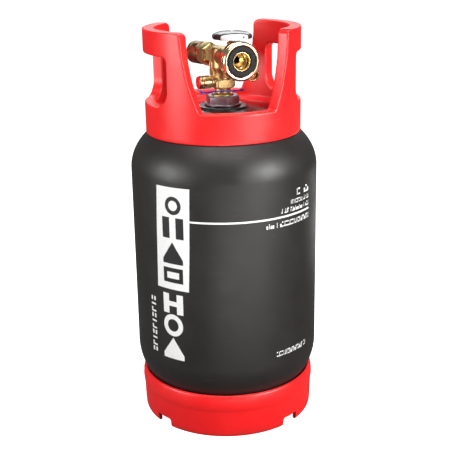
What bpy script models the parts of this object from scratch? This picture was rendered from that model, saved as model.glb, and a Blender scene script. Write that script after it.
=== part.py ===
"""Refillable propane tank with a moulded collar, a foot ring and a multi-port brass valve.

Metres, +Z up. The origin is on the floor at the middle of the foot ring. The front of the tank is -Y.
Azimuths are in degrees round +Z, from 0 at -Y (front) to 90 at +X.
"""

import math

import bmesh
import bpy
from mathutils import Matrix, Vector

# Clearances
GAP = 0.0003
SLIDE_GAP = 0.0004

# Bottle
BODY_R = 0.1231
JACKET_T = 0.0022
SHELL_T = 0.0014
TOP_HEAD_Z = 0.3451
TOP_HEAD_H = 0.0791
LOW_HEAD_Z = 0.0988
LOW_HEAD_H = 0.0944
NECK_STEP_R = 0.0340
NECK_STEP_H = 0.0010
NECK_HOLE_R = 0.0182
BOTTLE_SEGMENTS = 40
HEAD_STEPS = 5

# Collar
COLLAR_YAW = 11.5
COLLAR_R = 0.1015
COLLAR_IN_R = 0.0862
COLLAR_LEDGE_R = 0.0805
COLLAR_FOOT_Z = 0.3900
COLLAR_TOP_Z = 0.5260
COLLAR_ROUND = 0.0040
COLLAR_SEGMENTS = 60
GAP_LIP_Z = 0.4298
GAP_HALF_LOW = 28.2
GAP_HALF_TOP = 41.3
GAP_CURVE = 1.9
GAP_TOP_ROUND = 0.0065
SLOT_HALF = 35.5
SLOT_LOW_Z = 0.4325
SLOT_HIGH_Z = 0.4955
SLOT_LOW_ROUND = 0.0220
SLOT_HIGH_ROUND = 0.0070

# Foot ring
FOOT_R = 0.1190
FOOT_TOP_Z = 0.0605
FOOT_CREASE_Z = 0.0405
FOOT_IN_R = 0.1115
FOOT_LEDGE_Z = 0.0365
FOOT_SEGMENTS = 48
NOTCH_CENTRES = (-48.0, 46.0, 132.0, 226.0)
NOTCH_WIDTH = 0.0255
NOTCH_HEIGHT = 0.0120

# Neck boss
BOSS_YAW = 15.0
BOSS_CORNER_R = 0.0225
BOSS_FLANGE_R = 0.0238
BOSS_FLANGE_H = 0.0026
BOSS_BASE_Z = 0.4247
BOSS_TOP_Z = 0.4372
BOSS_BORE_R = 0.0130
BOSS_RECESS_R = 0.0150
BOSS_SPIGOT_Z = 0.4060

# Valve
VALVE_YAW = 23.0
PORT_Z = 0.4872
STEM_R = 0.0126
STEM_LOW_Z = 0.4030
BLOCK_SIDE = 0.0262
BLOCK_LOW_Z = 0.4470
BLOCK_HIGH_Z = 0.4576
BARREL_R = 0.0130
BARREL_END = 0.0455
WEB_AZ = -100.0
BODY_PHASE = 0.07
CENTRE_R = 0.0135
FLOW_R = 0.0045

# Outlet
RING_R = 0.0245
RING_BACK = 0.0460
RING_FRONT = 0.0635
RING_BORE_R = 0.0192
SEAL_IN_R = 0.0122
SEAL_FACE = 0.0629
INSERT_R = 0.0119
INSERT_STEP_R = 0.0086
INSERT_MOUTH_R = 0.0108

# Rear port
REAR_AZ = -142.0
HEX_FLATS = 0.0276
HEX_START = 0.0215
HEX_END = 0.0375
NIPPLE_END = 0.0545
REAR_NECK_R = 0.0130
CAP_R = 0.0148
CAP_END = 0.0600
NIPPLE_R = 0.0108

# Relief valve
RELIEF_AZ = -68.5
RELIEF_Z = 0.4550
RELIEF_R = 0.0084
RELIEF_BORE_R = 0.0058
RELIEF_END = 0.0327

# Handwheel
WHEEL_OFFSET = 0.0330
WHEEL_R = 0.0252
WHEEL_LOW_Z = 0.5125
WHEEL_H = 0.0098
WHEEL_FLUTES = 12
WHEEL_FLUTE_DEPTH = 0.0013
SPINDLE_R = 0.0030
BONNET_FLATS = 0.0126
PLUG_TOP_Z = 0.5006
PLUG_LIFT = 0.0012
BAND_HALF = 42.0
BAND_TURN = -15.0
BAND_DEPTH = 0.0026
HUB_SKIN = 0.0030
NUT_LOW_Z = 0.5022
RIM_TOP = 0.0052

# Level gauge port
GAUGE_FORWARD = 0.0440
GAUGE_SIDE = 0.0242
GAUGE_Z = 0.4668
GAUGE_R = 0.0085
GAUGE_LENGTH = 0.0090
ARM_Z = 0.4715
ARM_FORWARD = 0.0243

# Seal tie
TIE_R = 0.0278
TIE_WIRE_R = 0.0008
TIE_Z = 0.4412
TIE_TILT = 3.5
TIE_PITCH = 10.0

# Float stop inside
PIVOT = Vector((0.0120, 0.0, 0.3790))
ARM_LENGTH = 0.0560
ARM_HANG = 60.0
FLOAT_R = 0.0100


def clear_scene():
    for thing in list(bpy.data.objects):
        bpy.data.objects.remove(thing, do_unlink=True)


def material(name, colour, roughness, metallic=0.0):
    """A plain Principled material."""
    mat = bpy.data.materials.new(name)
    mat.use_nodes = True
    shader = mat.node_tree.nodes["Principled BSDF"]
    shader.inputs["Base Color"].default_value = (*colour, 1.0)
    shader.inputs["Roughness"].default_value = roughness
    shader.inputs["Metallic"].default_value = metallic
    return mat


def towards(azimuth):
    """The unit vector that points along an azimuth."""
    a = math.radians(azimuth)
    return Vector((math.sin(a), -math.cos(a), 0.0))


def port_frame(azimuth, height, along=0.0, side=0.0):
    """A frame whose +Z leaves the axis along an azimuth, whose +Y is up and +X to the next azimuth."""
    out = towards(azimuth)
    up = Vector((0.0, 0.0, 1.0))
    across = up.cross(out)
    frame = Matrix((across, up, out)).transposed().to_4x4()
    frame.translation = out * along + across * side + up * height
    return frame


def web_frame(azimuth):
    """A frame with +X away from the axis along an azimuth, +Y up and +Z to the side."""
    out = towards(azimuth)
    up = Vector((0.0, 0.0, 1.0))
    return Matrix((out, up, out.cross(up))).transposed().to_4x4()


def finish(bm, name, mat, frame=None, smooth=40.0):
    """Turns a bmesh into an object with outward faces."""
    bmesh.ops.recalc_face_normals(bm, faces=bm.faces)
    mesh = bpy.data.meshes.new(name)
    bm.to_mesh(mesh)
    bm.free()
    mesh.shade_smooth()
    mesh.set_sharp_from_angle(angle=math.radians(smooth))
    mesh.materials.append(mat)
    thing = bpy.data.objects.new(name, mesh)
    bpy.context.collection.objects.link(thing)
    if frame is not None:
        thing.matrix_world = frame
    return thing


def turned(name, profile, mat, segments=32, frame=None, ring=False, phase=0.0):
    """Turns (radius, height) points round Z. A ring's profile closes on itself."""
    bm = bmesh.new()
    rows = []
    for radius, height in profile:
        if radius < 1e-7:
            rows.append([bm.verts.new((0.0, 0.0, height))])
            continue
        row = []
        for i in range(segments):
            a = 2.0 * math.pi * i / segments + phase
            row.append(bm.verts.new((radius * math.cos(a), radius * math.sin(a), height)))
        rows.append(row)
    pairs = list(zip(rows, rows[1:]))
    if ring:
        pairs.append((rows[-1], rows[0]))
    for low, high in pairs:
        for i in range(segments):
            j = (i + 1) % segments
            if len(low) == 1 and len(high) == 1:
                continue
            if len(low) == 1:
                bm.faces.new((low[0], high[j], high[i]))
            elif len(high) == 1:
                bm.faces.new((low[i], low[j], high[0]))
            else:
                bm.faces.new((low[i], low[j], high[j], high[i]))
    return finish(bm, name, mat, frame)


def rod(name, radius, start, end, mat, segments=24, frame=None, chamfer=0.0, phase=0.0):
    """A solid round bar along the frame's Z."""
    profile = [(0.0, start)]
    if chamfer > 0.0:
        profile += [(radius - chamfer, start), (radius, start + chamfer)]
        profile += [(radius, end - chamfer), (radius - chamfer, end)]
    else:
        profile += [(radius, start), (radius, end)]
    profile += [(0.0, end)]
    return turned(name, profile, mat, segments, frame, phase=phase)


def prism(name, outline, start, end, mat, frame=None):
    """An outline in the frame's XY plane, pulled along its Z."""
    bm = bmesh.new()
    low = [bm.verts.new((x, y, start)) for x, y in outline]
    high = [bm.verts.new((x, y, end)) for x, y in outline]
    count = len(outline)
    bm.faces.new(list(reversed(low)))
    bm.faces.new(high)
    for i in range(count):
        j = (i + 1) % count
        bm.faces.new((low[i], low[j], high[j], high[i]))
    return finish(bm, name, mat, frame)


def box(name, low, high, mat, frame=None):
    outline = [(low[0], low[1]), (high[0], low[1]), (high[0], high[1]), (low[0], high[1])]
    return prism(name, outline, low[2], high[2], mat, frame)


def regular(count, corner_r, phase=0.0):
    """The corners of a regular outline."""
    step = 2.0 * math.pi / count
    angles = [phase + step * i for i in range(count)]
    return [(corner_r * math.cos(a), corner_r * math.sin(a)) for a in angles]


def combine(target, tool, operation):
    """Applies a Boolean to the target and drops the tool."""
    modifier = target.modifiers.new("cut", "BOOLEAN")
    modifier.operation = operation
    modifier.solver = "EXACT"
    modifier.object = tool
    bpy.context.view_layer.update()
    graph = bpy.context.evaluated_depsgraph_get()
    mesh = bpy.data.meshes.new_from_object(target.evaluated_get(graph))
    target.modifiers.clear()
    target.data = mesh
    bpy.data.objects.remove(tool, do_unlink=True)
    return target


def add(target, tool):
    return combine(target, tool, "UNION")


def cut(target, tool):
    return combine(target, tool, "DIFFERENCE")


def keep(target, tool):
    return combine(target, tool, "INTERSECT")


def tidy(thing, smooth=40.0):
    """Dissolves what a Boolean leaves on flat faces and makes the shading crisp."""
    bm = bmesh.new()
    bm.from_mesh(thing.data)
    bmesh.ops.remove_doubles(bm, verts=bm.verts, dist=0.000004)
    bmesh.ops.dissolve_degenerate(bm, edges=bm.edges, dist=0.000004)
    bmesh.ops.recalc_face_normals(bm, faces=bm.faces)
    bm.to_mesh(thing.data)
    bm.free()
    thing.data.shade_smooth()
    thing.data.set_sharp_from_angle(angle=math.radians(smooth))
    return thing


def head_radius(z, inset=0.0):
    """The bottle's radius at a height, inside its outer surface by inset."""
    full = BODY_R - inset
    if z > TOP_HEAD_Z:
        share = (z - TOP_HEAD_Z) / (TOP_HEAD_H - inset)
    elif z < LOW_HEAD_Z:
        share = (LOW_HEAD_Z - z) / (LOW_HEAD_H - inset)
    else:
        share = 0.0
    return full * math.sqrt(max(0.0, 1.0 - share * share))


def head_height(radius, inset=0.0, gap=0.0):
    """The top head's height at a radius."""
    share = radius / (BODY_R - inset)
    return TOP_HEAD_Z + (TOP_HEAD_H - inset) * math.sqrt(1.0 - share * share) + gap


def bottle_profile(inset, top_r, steps):
    """From the top opening's edge, down the wall, to the bottom's middle."""
    full = BODY_R - inset
    start = math.asin(top_r / full)
    points = []
    for i in range(steps + 1):
        a = start + (0.5 * math.pi - start) * i / steps
        points.append((full * math.sin(a), TOP_HEAD_Z + (TOP_HEAD_H - inset) * math.cos(a)))
    for i in range(steps + 1):
        a = 0.5 * math.pi * i / steps
        radius = full * math.cos(a) if i < steps else 0.0
        points.append((radius, LOW_HEAD_Z - (LOW_HEAD_H - inset) * math.sin(a)))
    return points


def make_bottle(plastic, steel):
    """The jacket with its raised neck step, and the pressure shell inside it."""
    outer = bottle_profile(0.0, NECK_STEP_R, HEAD_STEPS)
    inner = bottle_profile(JACKET_T, NECK_HOLE_R, HEAD_STEPS)
    step_z = head_height(NECK_HOLE_R) + NECK_STEP_H
    neck = [
        (NECK_HOLE_R, step_z),
        (NECK_STEP_R - 0.0010, step_z - 0.0006),
        (NECK_STEP_R, head_height(NECK_STEP_R)),
    ]
    turned("jacket", neck + outer[1:] + list(reversed(inner)), plastic, BOTTLE_SEGMENTS, ring=False)
    jacket = bpy.data.objects["jacket"]
    bm = bmesh.new()
    bm.from_mesh(jacket.data)
    loose = [edge for edge in bm.edges if edge.is_boundary]
    bmesh.ops.bridge_loops(bm, edges=loose)
    bmesh.ops.recalc_face_normals(bm, faces=bm.faces)
    bm.to_mesh(jacket.data)
    bm.free()

    inset = JACKET_T + GAP
    outer = bottle_profile(inset, NECK_HOLE_R, HEAD_STEPS)
    inner = bottle_profile(inset + SHELL_T, NECK_HOLE_R, HEAD_STEPS)
    turned("pressure_shell", outer + list(reversed(inner)), steel, BOTTLE_SEGMENTS, ring=True)


def column_cutter(name, columns, inner_r, outer_r, mat):
    """A wedge of curved outline. Each column is an azimuth with its low and high edge."""
    bm = bmesh.new()
    rings = []
    for azimuth, low, high in columns:
        out = towards(azimuth)
        corners = []
        for radius, z in ((inner_r, low), (outer_r, low), (outer_r, high), (inner_r, high)):
            corners.append(bm.verts.new((out.x * radius, out.y * radius, z)))
        rings.append(corners)
    for left, right in zip(rings, rings[1:]):
        for i in range(4):
            j = (i + 1) % 4
            bm.faces.new((left[i], left[j], right[j], right[i]))
    bm.faces.new(rings[0])
    bm.faces.new(list(reversed(rings[-1])))
    return finish(bm, name, mat)


def gap_columns(centre):
    """The front or back gap: a curve that widens upwards from the lip and rounds off at the top."""
    top = COLLAR_TOP_Z + 0.010
    steps = 9
    side = []
    for i in range(steps + 1):
        t = (i / steps) ** 1.1
        half = GAP_HALF_LOW + (GAP_HALF_TOP - GAP_HALF_LOW) * (1.0 - (1.0 - t) ** GAP_CURVE)
        z = GAP_LIP_Z + t * (COLLAR_TOP_Z - GAP_LIP_Z)
        above = z - (COLLAR_TOP_Z - GAP_TOP_ROUND)
        if above > 0.0:
            widen = GAP_TOP_ROUND - math.sqrt(max(0.0, GAP_TOP_ROUND**2 - above**2))
            half += math.degrees(widen / COLLAR_R)
        side.append((half, z))
    columns = [(centre - half, z, top) for half, z in reversed(side)]
    count = 12
    for i in range(1, count):
        columns.append((centre - GAP_HALF_LOW + 2.0 * GAP_HALF_LOW * i / count, GAP_LIP_Z, top))
    columns += [(centre + half, z, top) for half, z in side]
    return columns


def slot_columns(centre):
    """A hand slot: wide round corners below, small ones above."""
    middle_r = 0.5 * (COLLAR_R + COLLAR_IN_R)
    half = math.radians(SLOT_HALF) * middle_r
    stations = []
    for i in range(6):
        stations.append(-half + SLOT_LOW_ROUND * (1.0 - math.cos(0.5 * math.pi * i / 5)))
    stations.append(-half + SLOT_HIGH_ROUND)
    stations = sorted(set(stations))
    inner = [-half + SLOT_LOW_ROUND + (half - SLOT_LOW_ROUND) * i / 3 for i in range(1, 4)]
    stations += inner
    stations += [-s for s in reversed(stations[:-1])]
    columns = []
    for s in stations:
        edge = half - abs(s)
        low = SLOT_LOW_Z
        if edge < SLOT_LOW_ROUND:
            low += SLOT_LOW_ROUND - math.sqrt(SLOT_LOW_ROUND**2 - (SLOT_LOW_ROUND - edge) ** 2)
        high = SLOT_HIGH_Z
        if edge < SLOT_HIGH_ROUND:
            high -= SLOT_HIGH_ROUND - math.sqrt(SLOT_HIGH_ROUND**2 - (SLOT_HIGH_ROUND - edge) ** 2)
        columns.append((centre + math.degrees(s / middle_r), low, high))
    return columns


def make_collar(red):
    """The red collar: a ring with two gaps and two hand slots."""
    edge = COLLAR_ROUND
    half_edge = edge * (1.0 - math.sqrt(0.5))
    profile = [
        (COLLAR_R, COLLAR_FOOT_Z + 0.0010),
        (COLLAR_R, COLLAR_TOP_Z - edge),
        (COLLAR_R - half_edge, COLLAR_TOP_Z - half_edge),
        (COLLAR_R - edge, COLLAR_TOP_Z),
        (COLLAR_IN_R + edge, COLLAR_TOP_Z),
        (COLLAR_IN_R + half_edge, COLLAR_TOP_Z - half_edge),
        (COLLAR_IN_R, COLLAR_TOP_Z - edge),
        (COLLAR_IN_R, 0.4200),
        (COLLAR_LEDGE_R + 0.0010, 0.4165),
        (COLLAR_LEDGE_R, 0.4150),
        (COLLAR_LEDGE_R, head_height(COLLAR_LEDGE_R, gap=0.0006)),
        (0.0910, head_height(0.0910, gap=0.0005)),
        (COLLAR_R - 0.0008, head_height(COLLAR_R - 0.0008, gap=0.0004)),
    ]
    collar = turned("collar", profile, red, COLLAR_SEGMENTS, ring=True, phase=math.radians(COLLAR_YAW))
    for index, centre in enumerate((COLLAR_YAW, COLLAR_YAW + 180.0)):
        cut(collar, column_cutter("gap_%d" % index, gap_columns(centre), 0.070, 0.112, red))
    for index, centre in enumerate((COLLAR_YAW + 90.0, COLLAR_YAW - 90.0)):
        cut(collar, column_cutter("slot_%d" % index, slot_columns(centre), 0.070, 0.112, red))
    return tidy(collar)


def make_foot_ring(red):
    """The foot ring: an outer wall, a rim round the bottle, a ledge below it and four drain notches."""
    seat = [(head_radius(z) + GAP + 0.0003, z) for z in (0.0400, 0.0450, 0.0495, 0.0540)]
    profile = [
        (FOOT_IN_R, 0.0),
        (FOOT_R - 0.0046, 0.0),
        (FOOT_R - 0.0026, 0.0025),
        (FOOT_R - 0.0020, 0.0100),
        (FOOT_R - 0.0014, 0.0300),
        (FOOT_R - 0.0002, FOOT_CREASE_Z),
        (FOOT_R, 0.0460),
        (FOOT_R - 0.0008, 0.0555),
        (FOOT_R - 0.0022, 0.0592),
        (FOOT_R - 0.0045, FOOT_TOP_Z),
        (FOOT_R - 0.0068, 0.0585),
    ]
    profile += list(reversed(seat))
    profile += [
        (seat[0][0] - 0.0010, FOOT_LEDGE_Z),
        (FOOT_IN_R - 0.0020, FOOT_LEDGE_Z),
        (FOOT_IN_R, FOOT_LEDGE_Z - 0.0020),
    ]
    ring = turned("foot_ring", profile, red, FOOT_SEGMENTS, ring=True)
    for index, centre in enumerate(NOTCH_CENTRES):
        half = 0.5 * NOTCH_WIDTH
        outline = [
            (-half, -0.010),
            (half, -0.010),
            (half, NOTCH_HEIGHT - 0.0030),
            (half - 0.0030, NOTCH_HEIGHT),
            (-half, NOTCH_HEIGHT),
        ]
        if index % 2 == 1:
            outline = [(-x, y) for x, y in reversed(outline)]
        cut(ring, prism("notch_%d" % index, outline, 0.100, 0.130, red, port_frame(centre, 0.0)))
    return tidy(ring)


def make_neck_boss(steel, rubber):
    """The hexagonal boss with its round flange and spigot, and the seal in it."""
    yaw = Matrix.Rotation(math.radians(BOSS_YAW - 90.0), 4, "Z")
    low = BOSS_BASE_Z + BOSS_FLANGE_H
    hexagon = prism("neck_boss", regular(6, BOSS_CORNER_R), low - 0.0010, BOSS_TOP_Z, steel, yaw)
    flats = BOSS_CORNER_R * math.cos(math.radians(30.0))
    corner = [
        (0.0, low - 0.0020),
        (BOSS_CORNER_R + 0.001, low - 0.0020),
        (BOSS_CORNER_R + 0.001, BOSS_TOP_Z - 0.0026),
        (flats - 0.0008, BOSS_TOP_Z + 0.0001),
        (0.0, BOSS_TOP_Z + 0.0001),
    ]
    keep(hexagon, turned("corner", corner, steel, 36))
    add(hexagon, rod("flange", BOSS_FLANGE_R, BOSS_BASE_Z, low, steel, 36, chamfer=0.0006))
    add(hexagon, rod("spigot", NECK_HOLE_R - GAP, BOSS_SPIGOT_Z, low - 0.0004, steel, 24))
    cut(hexagon, rod("bore", BOSS_BORE_R, BOSS_SPIGOT_Z - 0.01, BOSS_TOP_Z + 0.01, steel, 24))
    cut(hexagon, rod("recess", BOSS_RECESS_R, BOSS_TOP_Z - 0.0036, BOSS_TOP_Z + 0.01, steel, 24))
    tidy(hexagon)
    seal = [
        (STEM_R + GAP, BOSS_TOP_Z - 0.0033),
        (BOSS_RECESS_R - GAP, BOSS_TOP_Z - 0.0033),
        (BOSS_RECESS_R - GAP, BOSS_TOP_Z - 0.0018),
        (STEM_R + GAP, BOSS_TOP_Z - 0.0018),
    ]
    turned("neck_seal", seal, rubber, 24, ring=True)


def make_valve_body(brass):
    """The cast and turned brass body, from the threaded stem to the ports."""
    yaw = Matrix.Rotation(math.radians(VALVE_YAW), 4, "Z")
    stem = [
        (0.0, STEM_LOW_Z),
        (STEM_R - 0.001, STEM_LOW_Z),
        (STEM_R, STEM_LOW_Z + 0.001),
        (STEM_R, BOSS_TOP_Z - 0.0016),
        (BOSS_BORE_R + 0.0016, BOSS_TOP_Z - 0.0015),
        (BOSS_BORE_R + 0.0016, BOSS_TOP_Z + 0.0008),
        (BOSS_BORE_R - 0.0002, BOSS_TOP_Z + 0.0024),
        (0.0106, BOSS_TOP_Z + 0.0030),
        (0.0106, 0.4600),
        (0.0112, 0.4660),
        (CENTRE_R, 0.4730),
        (CENTRE_R, 0.4975),
        (CENTRE_R - 0.0015, 0.4992),
        (0.0, 0.4992),
    ]
    body = turned("valve_body", stem, brass, 24, phase=BODY_PHASE)
    half = 0.5 * BLOCK_SIDE
    block = box("block", (-half, -half, BLOCK_LOW_Z), (half, half, BLOCK_HIGH_Z), brass, yaw)
    round_block = [
        (0.0, BLOCK_LOW_Z - 0.0001),
        (half + 0.0012, BLOCK_LOW_Z - 0.0001),
        (half + 0.0040, BLOCK_LOW_Z + 0.0016),
        (half + 0.0040, BLOCK_HIGH_Z - 0.0016),
        (half + 0.0012, BLOCK_HIGH_Z + 0.0001),
        (0.0, BLOCK_HIGH_Z + 0.0001),
    ]
    keep(block, turned("round_block", round_block, brass, 24))
    add(body, block)
    out = port_frame(VALVE_YAW, PORT_Z)
    add(body, rod("barrel", BARREL_R, -0.0023, BARREL_END, brass, 24, out, phase=BODY_PHASE))
    bonnet_seat = Matrix.Translation(towards(VALVE_YAW) * WHEEL_OFFSET)
    add(body, rod("bonnet_seat", 0.0072, PORT_Z, 0.5022, brass, 20, bonnet_seat))
    back = port_frame(REAR_AZ, PORT_Z)
    corner = math.radians(30.0)
    add(body, rod("back_neck", REAR_NECK_R, 0.0031, HEX_START - GAP, brass, 6, back, phase=corner))
    relief = port_frame(RELIEF_AZ, RELIEF_Z)
    add(body, rod("relief_neck", 0.0076, 0.0017, 0.0170, brass, 20, relief))
    web = [(0.004, 0.4570), (0.0105, 0.4570), (0.0165, 0.4640), (0.0165, 0.4800), (0.004, 0.4800)]
    plate = prism("web", web, -0.0035, 0.0035, brass, web_frame(WEB_AZ))
    add(body, plate)
    gauge = port_frame(VALVE_YAW, GAUGE_Z, 0.0, GAUGE_SIDE)
    arm_end = GAUGE_FORWARD - GAUGE_LENGTH
    add(body, rod("gauge_arm", 0.0052, ARM_FORWARD - 0.0050, arm_end, brass, 20, gauge))
    across = port_frame(VALVE_YAW + 90.0, ARM_Z, 0.0, -ARM_FORWARD)
    add(body, rod("bridge", 0.0060, 0.0011, GAUGE_SIDE + 0.0010, brass, 20, across, phase=BODY_PHASE))
    cut(body, rod("plug_well", 0.0050, PORT_Z + 0.0023, 0.5100, brass, 20, bonnet_seat, phase=0.11))
    cut(body, rod("flow", FLOW_R, -0.004, BARREL_END + 0.01, brass, 16, out))
    cut(body, rod("check_well", 0.0070, 0.0180, BARREL_END + 0.01, brass, 20, out))
    cut(body, rod("rise", 0.0048, STEM_LOW_Z - 0.01, PORT_Z, brass, 20))
    cut(body, rod("relief_way", 0.0030, 0.0, 0.0300, brass, 16, relief))
    return tidy(body)


def make_outlet(brass, rubber):
    """The coupling ring, its seal and the stepped insert in its mouth."""
    out = port_frame(VALVE_YAW, PORT_Z)
    ring = [
        (BARREL_R + GAP, RING_BACK - 0.0030),
        (0.0188, RING_BACK - 0.0030),
        (0.0200, RING_BACK - 0.0018),
        (0.0200, RING_BACK),
        (RING_R - 0.0022, RING_BACK + 0.0006),
        (RING_R - 0.0008, RING_BACK + 0.0026),
        (RING_R, RING_FRONT - 0.0030),
        (RING_R - 0.0014, RING_FRONT - 0.0008),
        (RING_R - 0.0026, RING_FRONT),
        (RING_BORE_R + 0.0014, RING_FRONT),
        (RING_BORE_R, RING_FRONT - 0.0012),
        (RING_BORE_R, RING_BACK + 0.0030),
        (BARREL_R + GAP, RING_BACK + 0.0030),
    ]
    turned("outlet_ring", ring, brass, 36, out, ring=True)
    seal = [
        (SEAL_IN_R, RING_BACK + 0.0034),
        (RING_BORE_R - GAP, RING_BACK + 0.0034),
        (RING_BORE_R - GAP, SEAL_FACE - 0.0006),
        (RING_BORE_R - 0.0012, SEAL_FACE),
        (SEAL_IN_R + 0.0008, SEAL_FACE),
        (SEAL_IN_R, SEAL_FACE - 0.0008),
    ]
    turned("outlet_seal", seal, rubber, 32, out, ring=True)
    insert = [
        (FLOW_R, BARREL_END - 0.0080),
        (0.0067, BARREL_END - 0.0080),
        (0.0067, BARREL_END + GAP),
        (INSERT_R, BARREL_END + GAP),
        (INSERT_R, SEAL_FACE - 0.0012),
        (INSERT_R - 0.0004, SEAL_FACE - 0.0006),
        (INSERT_MOUTH_R, SEAL_FACE - 0.0006),
        (INSERT_MOUTH_R - 0.0004, BARREL_END + 0.0080),
        (INSERT_STEP_R, BARREL_END + 0.0070),
        (INSERT_STEP_R, BARREL_END + 0.0020),
        (FLOW_R + 0.0004, BARREL_END - 0.0004),
        (FLOW_R, BARREL_END - 0.0012),
    ]
    turned("outlet_insert", insert, brass, 24, out, ring=True)


def coil(name, mean_r, wire_r, start, end, turns, mat, frame):
    """A coil spring with closed ends, as one tube."""
    bm = bmesh.new()
    per_turn = 9
    sides = 4
    rings = []
    total = turns * per_turn
    for i in range(total + 1):
        a = 2.0 * math.pi * i / per_turn
        z = start + wire_r + (end - start - 2.0 * wire_r) * i / total
        row = []
        for k in range(sides):
            b = 2.0 * math.pi * k / sides
            r = mean_r + wire_r * math.cos(b)
            row.append(bm.verts.new((r * math.cos(a), r * math.sin(a), z + wire_r * math.sin(b))))
        rings.append(row)
    for low, high in zip(rings, rings[1:]):
        for k in range(sides):
            j = (k + 1) % sides
            bm.faces.new((low[k], low[j], high[j], high[k]))
    bm.faces.new(list(reversed(rings[0])))
    bm.faces.new(rings[-1])
    return finish(bm, name, mat, frame)


def make_check(brass, steel):
    """The poppet behind the outlet insert and the spring that closes it."""
    out = port_frame(VALVE_YAW, PORT_Z)
    top = BARREL_END - 0.0083
    poppet = [
        (0.0, top - 0.0060),
        (0.0020, top - 0.0060),
        (0.0020, top - 0.0022),
        (0.0052, top - 0.0020),
        (0.0052, top - 0.0006),
        (0.0036, top),
        (0.0, top + 0.0004),
    ]
    turned("check_poppet", poppet, brass, 20, out)
    coil("check_spring", 0.0042, 0.0004, 0.0182, top - 0.0024, 4, steel, out)


def make_rear_port(brass, dark_brass, rubber):
    """The hexagonal adapter with its nipple, the round cap over it and the cap's washer."""
    back = port_frame(REAR_AZ, PORT_Z)
    corner = HEX_FLATS / math.sqrt(3.0)
    flats = 0.5 * HEX_FLATS
    adapter = prism("rear_adapter", regular(6, corner, math.radians(30.0)), HEX_START, HEX_END, brass, back)
    rounder = [
        (0.0, HEX_START),
        (flats - 0.0006, HEX_START),
        (corner, HEX_START + 0.0030),
        (corner, HEX_END - 0.0022),
        (flats - 0.0006, HEX_END),
        (0.0, HEX_END),
    ]
    keep(adapter, turned("rounder", rounder, brass, 36, back))
    add(adapter, rod("collar_ring", flats - 0.0003, HEX_END - 0.001, HEX_END + 0.0017, brass, 24, back))
    add(adapter, rod("nipple", NIPPLE_R, HEX_END, NIPPLE_END, brass, 24, back, chamfer=0.0008))
    cut(adapter, rod("nipple_bore", 0.0060, HEX_START + 0.006, 0.0800, brass, 16, back))
    tidy(adapter)
    mouth = HEX_END + 0.0017 + GAP
    cap = [
        (NIPPLE_R + SLIDE_GAP, mouth),
        (CAP_R - 0.0010, mouth),
        (CAP_R, mouth + 0.0010),
        (CAP_R, CAP_END - 0.0016),
        (CAP_R - 0.0016, CAP_END),
        (0.0, CAP_END),
        (0.0, CAP_END - 0.0030),
        (NIPPLE_R + SLIDE_GAP, CAP_END - 0.0030),
    ]
    turned_cap(cap, dark_brass, back)
    washer = [
        (0.0062, NIPPLE_END + 0.0004),
        (NIPPLE_R, NIPPLE_END + 0.0004),
        (NIPPLE_R, CAP_END - 0.0034),
        (0.0062, CAP_END - 0.0034),
    ]
    turned("cap_washer", washer, rubber, 24, back, ring=True)


def turned_cap(profile, mat, frame):
    """A cup: the outside and the inside both reach the axis, and the mouth's edge joins them."""
    half = profile.index((0.0, CAP_END)) + 1
    outside = profile[:half]
    inside = profile[half:]
    order = list(reversed(outside)) + list(reversed(inside))
    turned("rear_cap", order, mat, 28, frame)


def make_relief(brass, steel, rubber, red):
    """The relief valve: housing, poppet, spring, spring seat and the dust cap in its mouth."""
    side = port_frame(RELIEF_AZ, RELIEF_Z)
    seat = 0.0175
    housing = [
        (0.0035, seat),
        (RELIEF_R - 0.0006, seat),
        (RELIEF_R, seat + 0.0006),
        (RELIEF_R, RELIEF_END - 0.0006),
        (RELIEF_R - 0.0006, RELIEF_END),
        (RELIEF_BORE_R + 0.0008, RELIEF_END),
        (RELIEF_BORE_R, RELIEF_END - 0.0008),
        (RELIEF_BORE_R, seat + 0.0012),
        (0.0035, seat + 0.0012),
    ]
    turned("relief_housing", housing, brass, 24, side, ring=True)
    poppet = [
        (0.0, seat + 0.0015),
        (RELIEF_BORE_R - SLIDE_GAP, seat + 0.0015),
        (RELIEF_BORE_R - SLIDE_GAP, seat + 0.0030),
        (0.0018, seat + 0.0032),
        (0.0018, seat + 0.0070),
        (0.0, seat + 0.0070),
    ]
    turned("relief_poppet", poppet, rubber, 20, side)
    holder = RELIEF_END - 0.0050
    coil("relief_spring", 0.0040, 0.0005, seat + 0.0034, holder - GAP, 4, steel, side)
    ring = [
        (0.0024, holder),
        (RELIEF_BORE_R - GAP, holder),
        (RELIEF_BORE_R - GAP, holder + 0.0016),
        (0.0024, holder + 0.0016),
    ]
    turned("relief_spring_seat", ring, brass, 20, side, ring=True)
    cap = [
        (0.0, RELIEF_END - 0.0028),
        (RELIEF_BORE_R - SLIDE_GAP, RELIEF_END - 0.0028),
        (RELIEF_BORE_R - SLIDE_GAP, RELIEF_END + 0.0004),
        (RELIEF_R - 0.0005, RELIEF_END + 0.0004),
        (RELIEF_R - 0.0005, RELIEF_END + 0.0012),
        (RELIEF_R - 0.0012, RELIEF_END + 0.0018),
        (0.0, RELIEF_END + 0.0020),
    ]
    turned("relief_cap", cap, red, 24, side)


def wheel_outline():
    """A round outline with shallow flutes."""
    points = []
    count = WHEEL_FLUTES * 4
    for i in range(count):
        a = 2.0 * math.pi * i / count
        dip = 0.5 * WHEEL_FLUTE_DEPTH * (1.0 - math.cos(WHEEL_FLUTES * a))
        points.append((a, WHEEL_R - dip))
    return points


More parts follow.
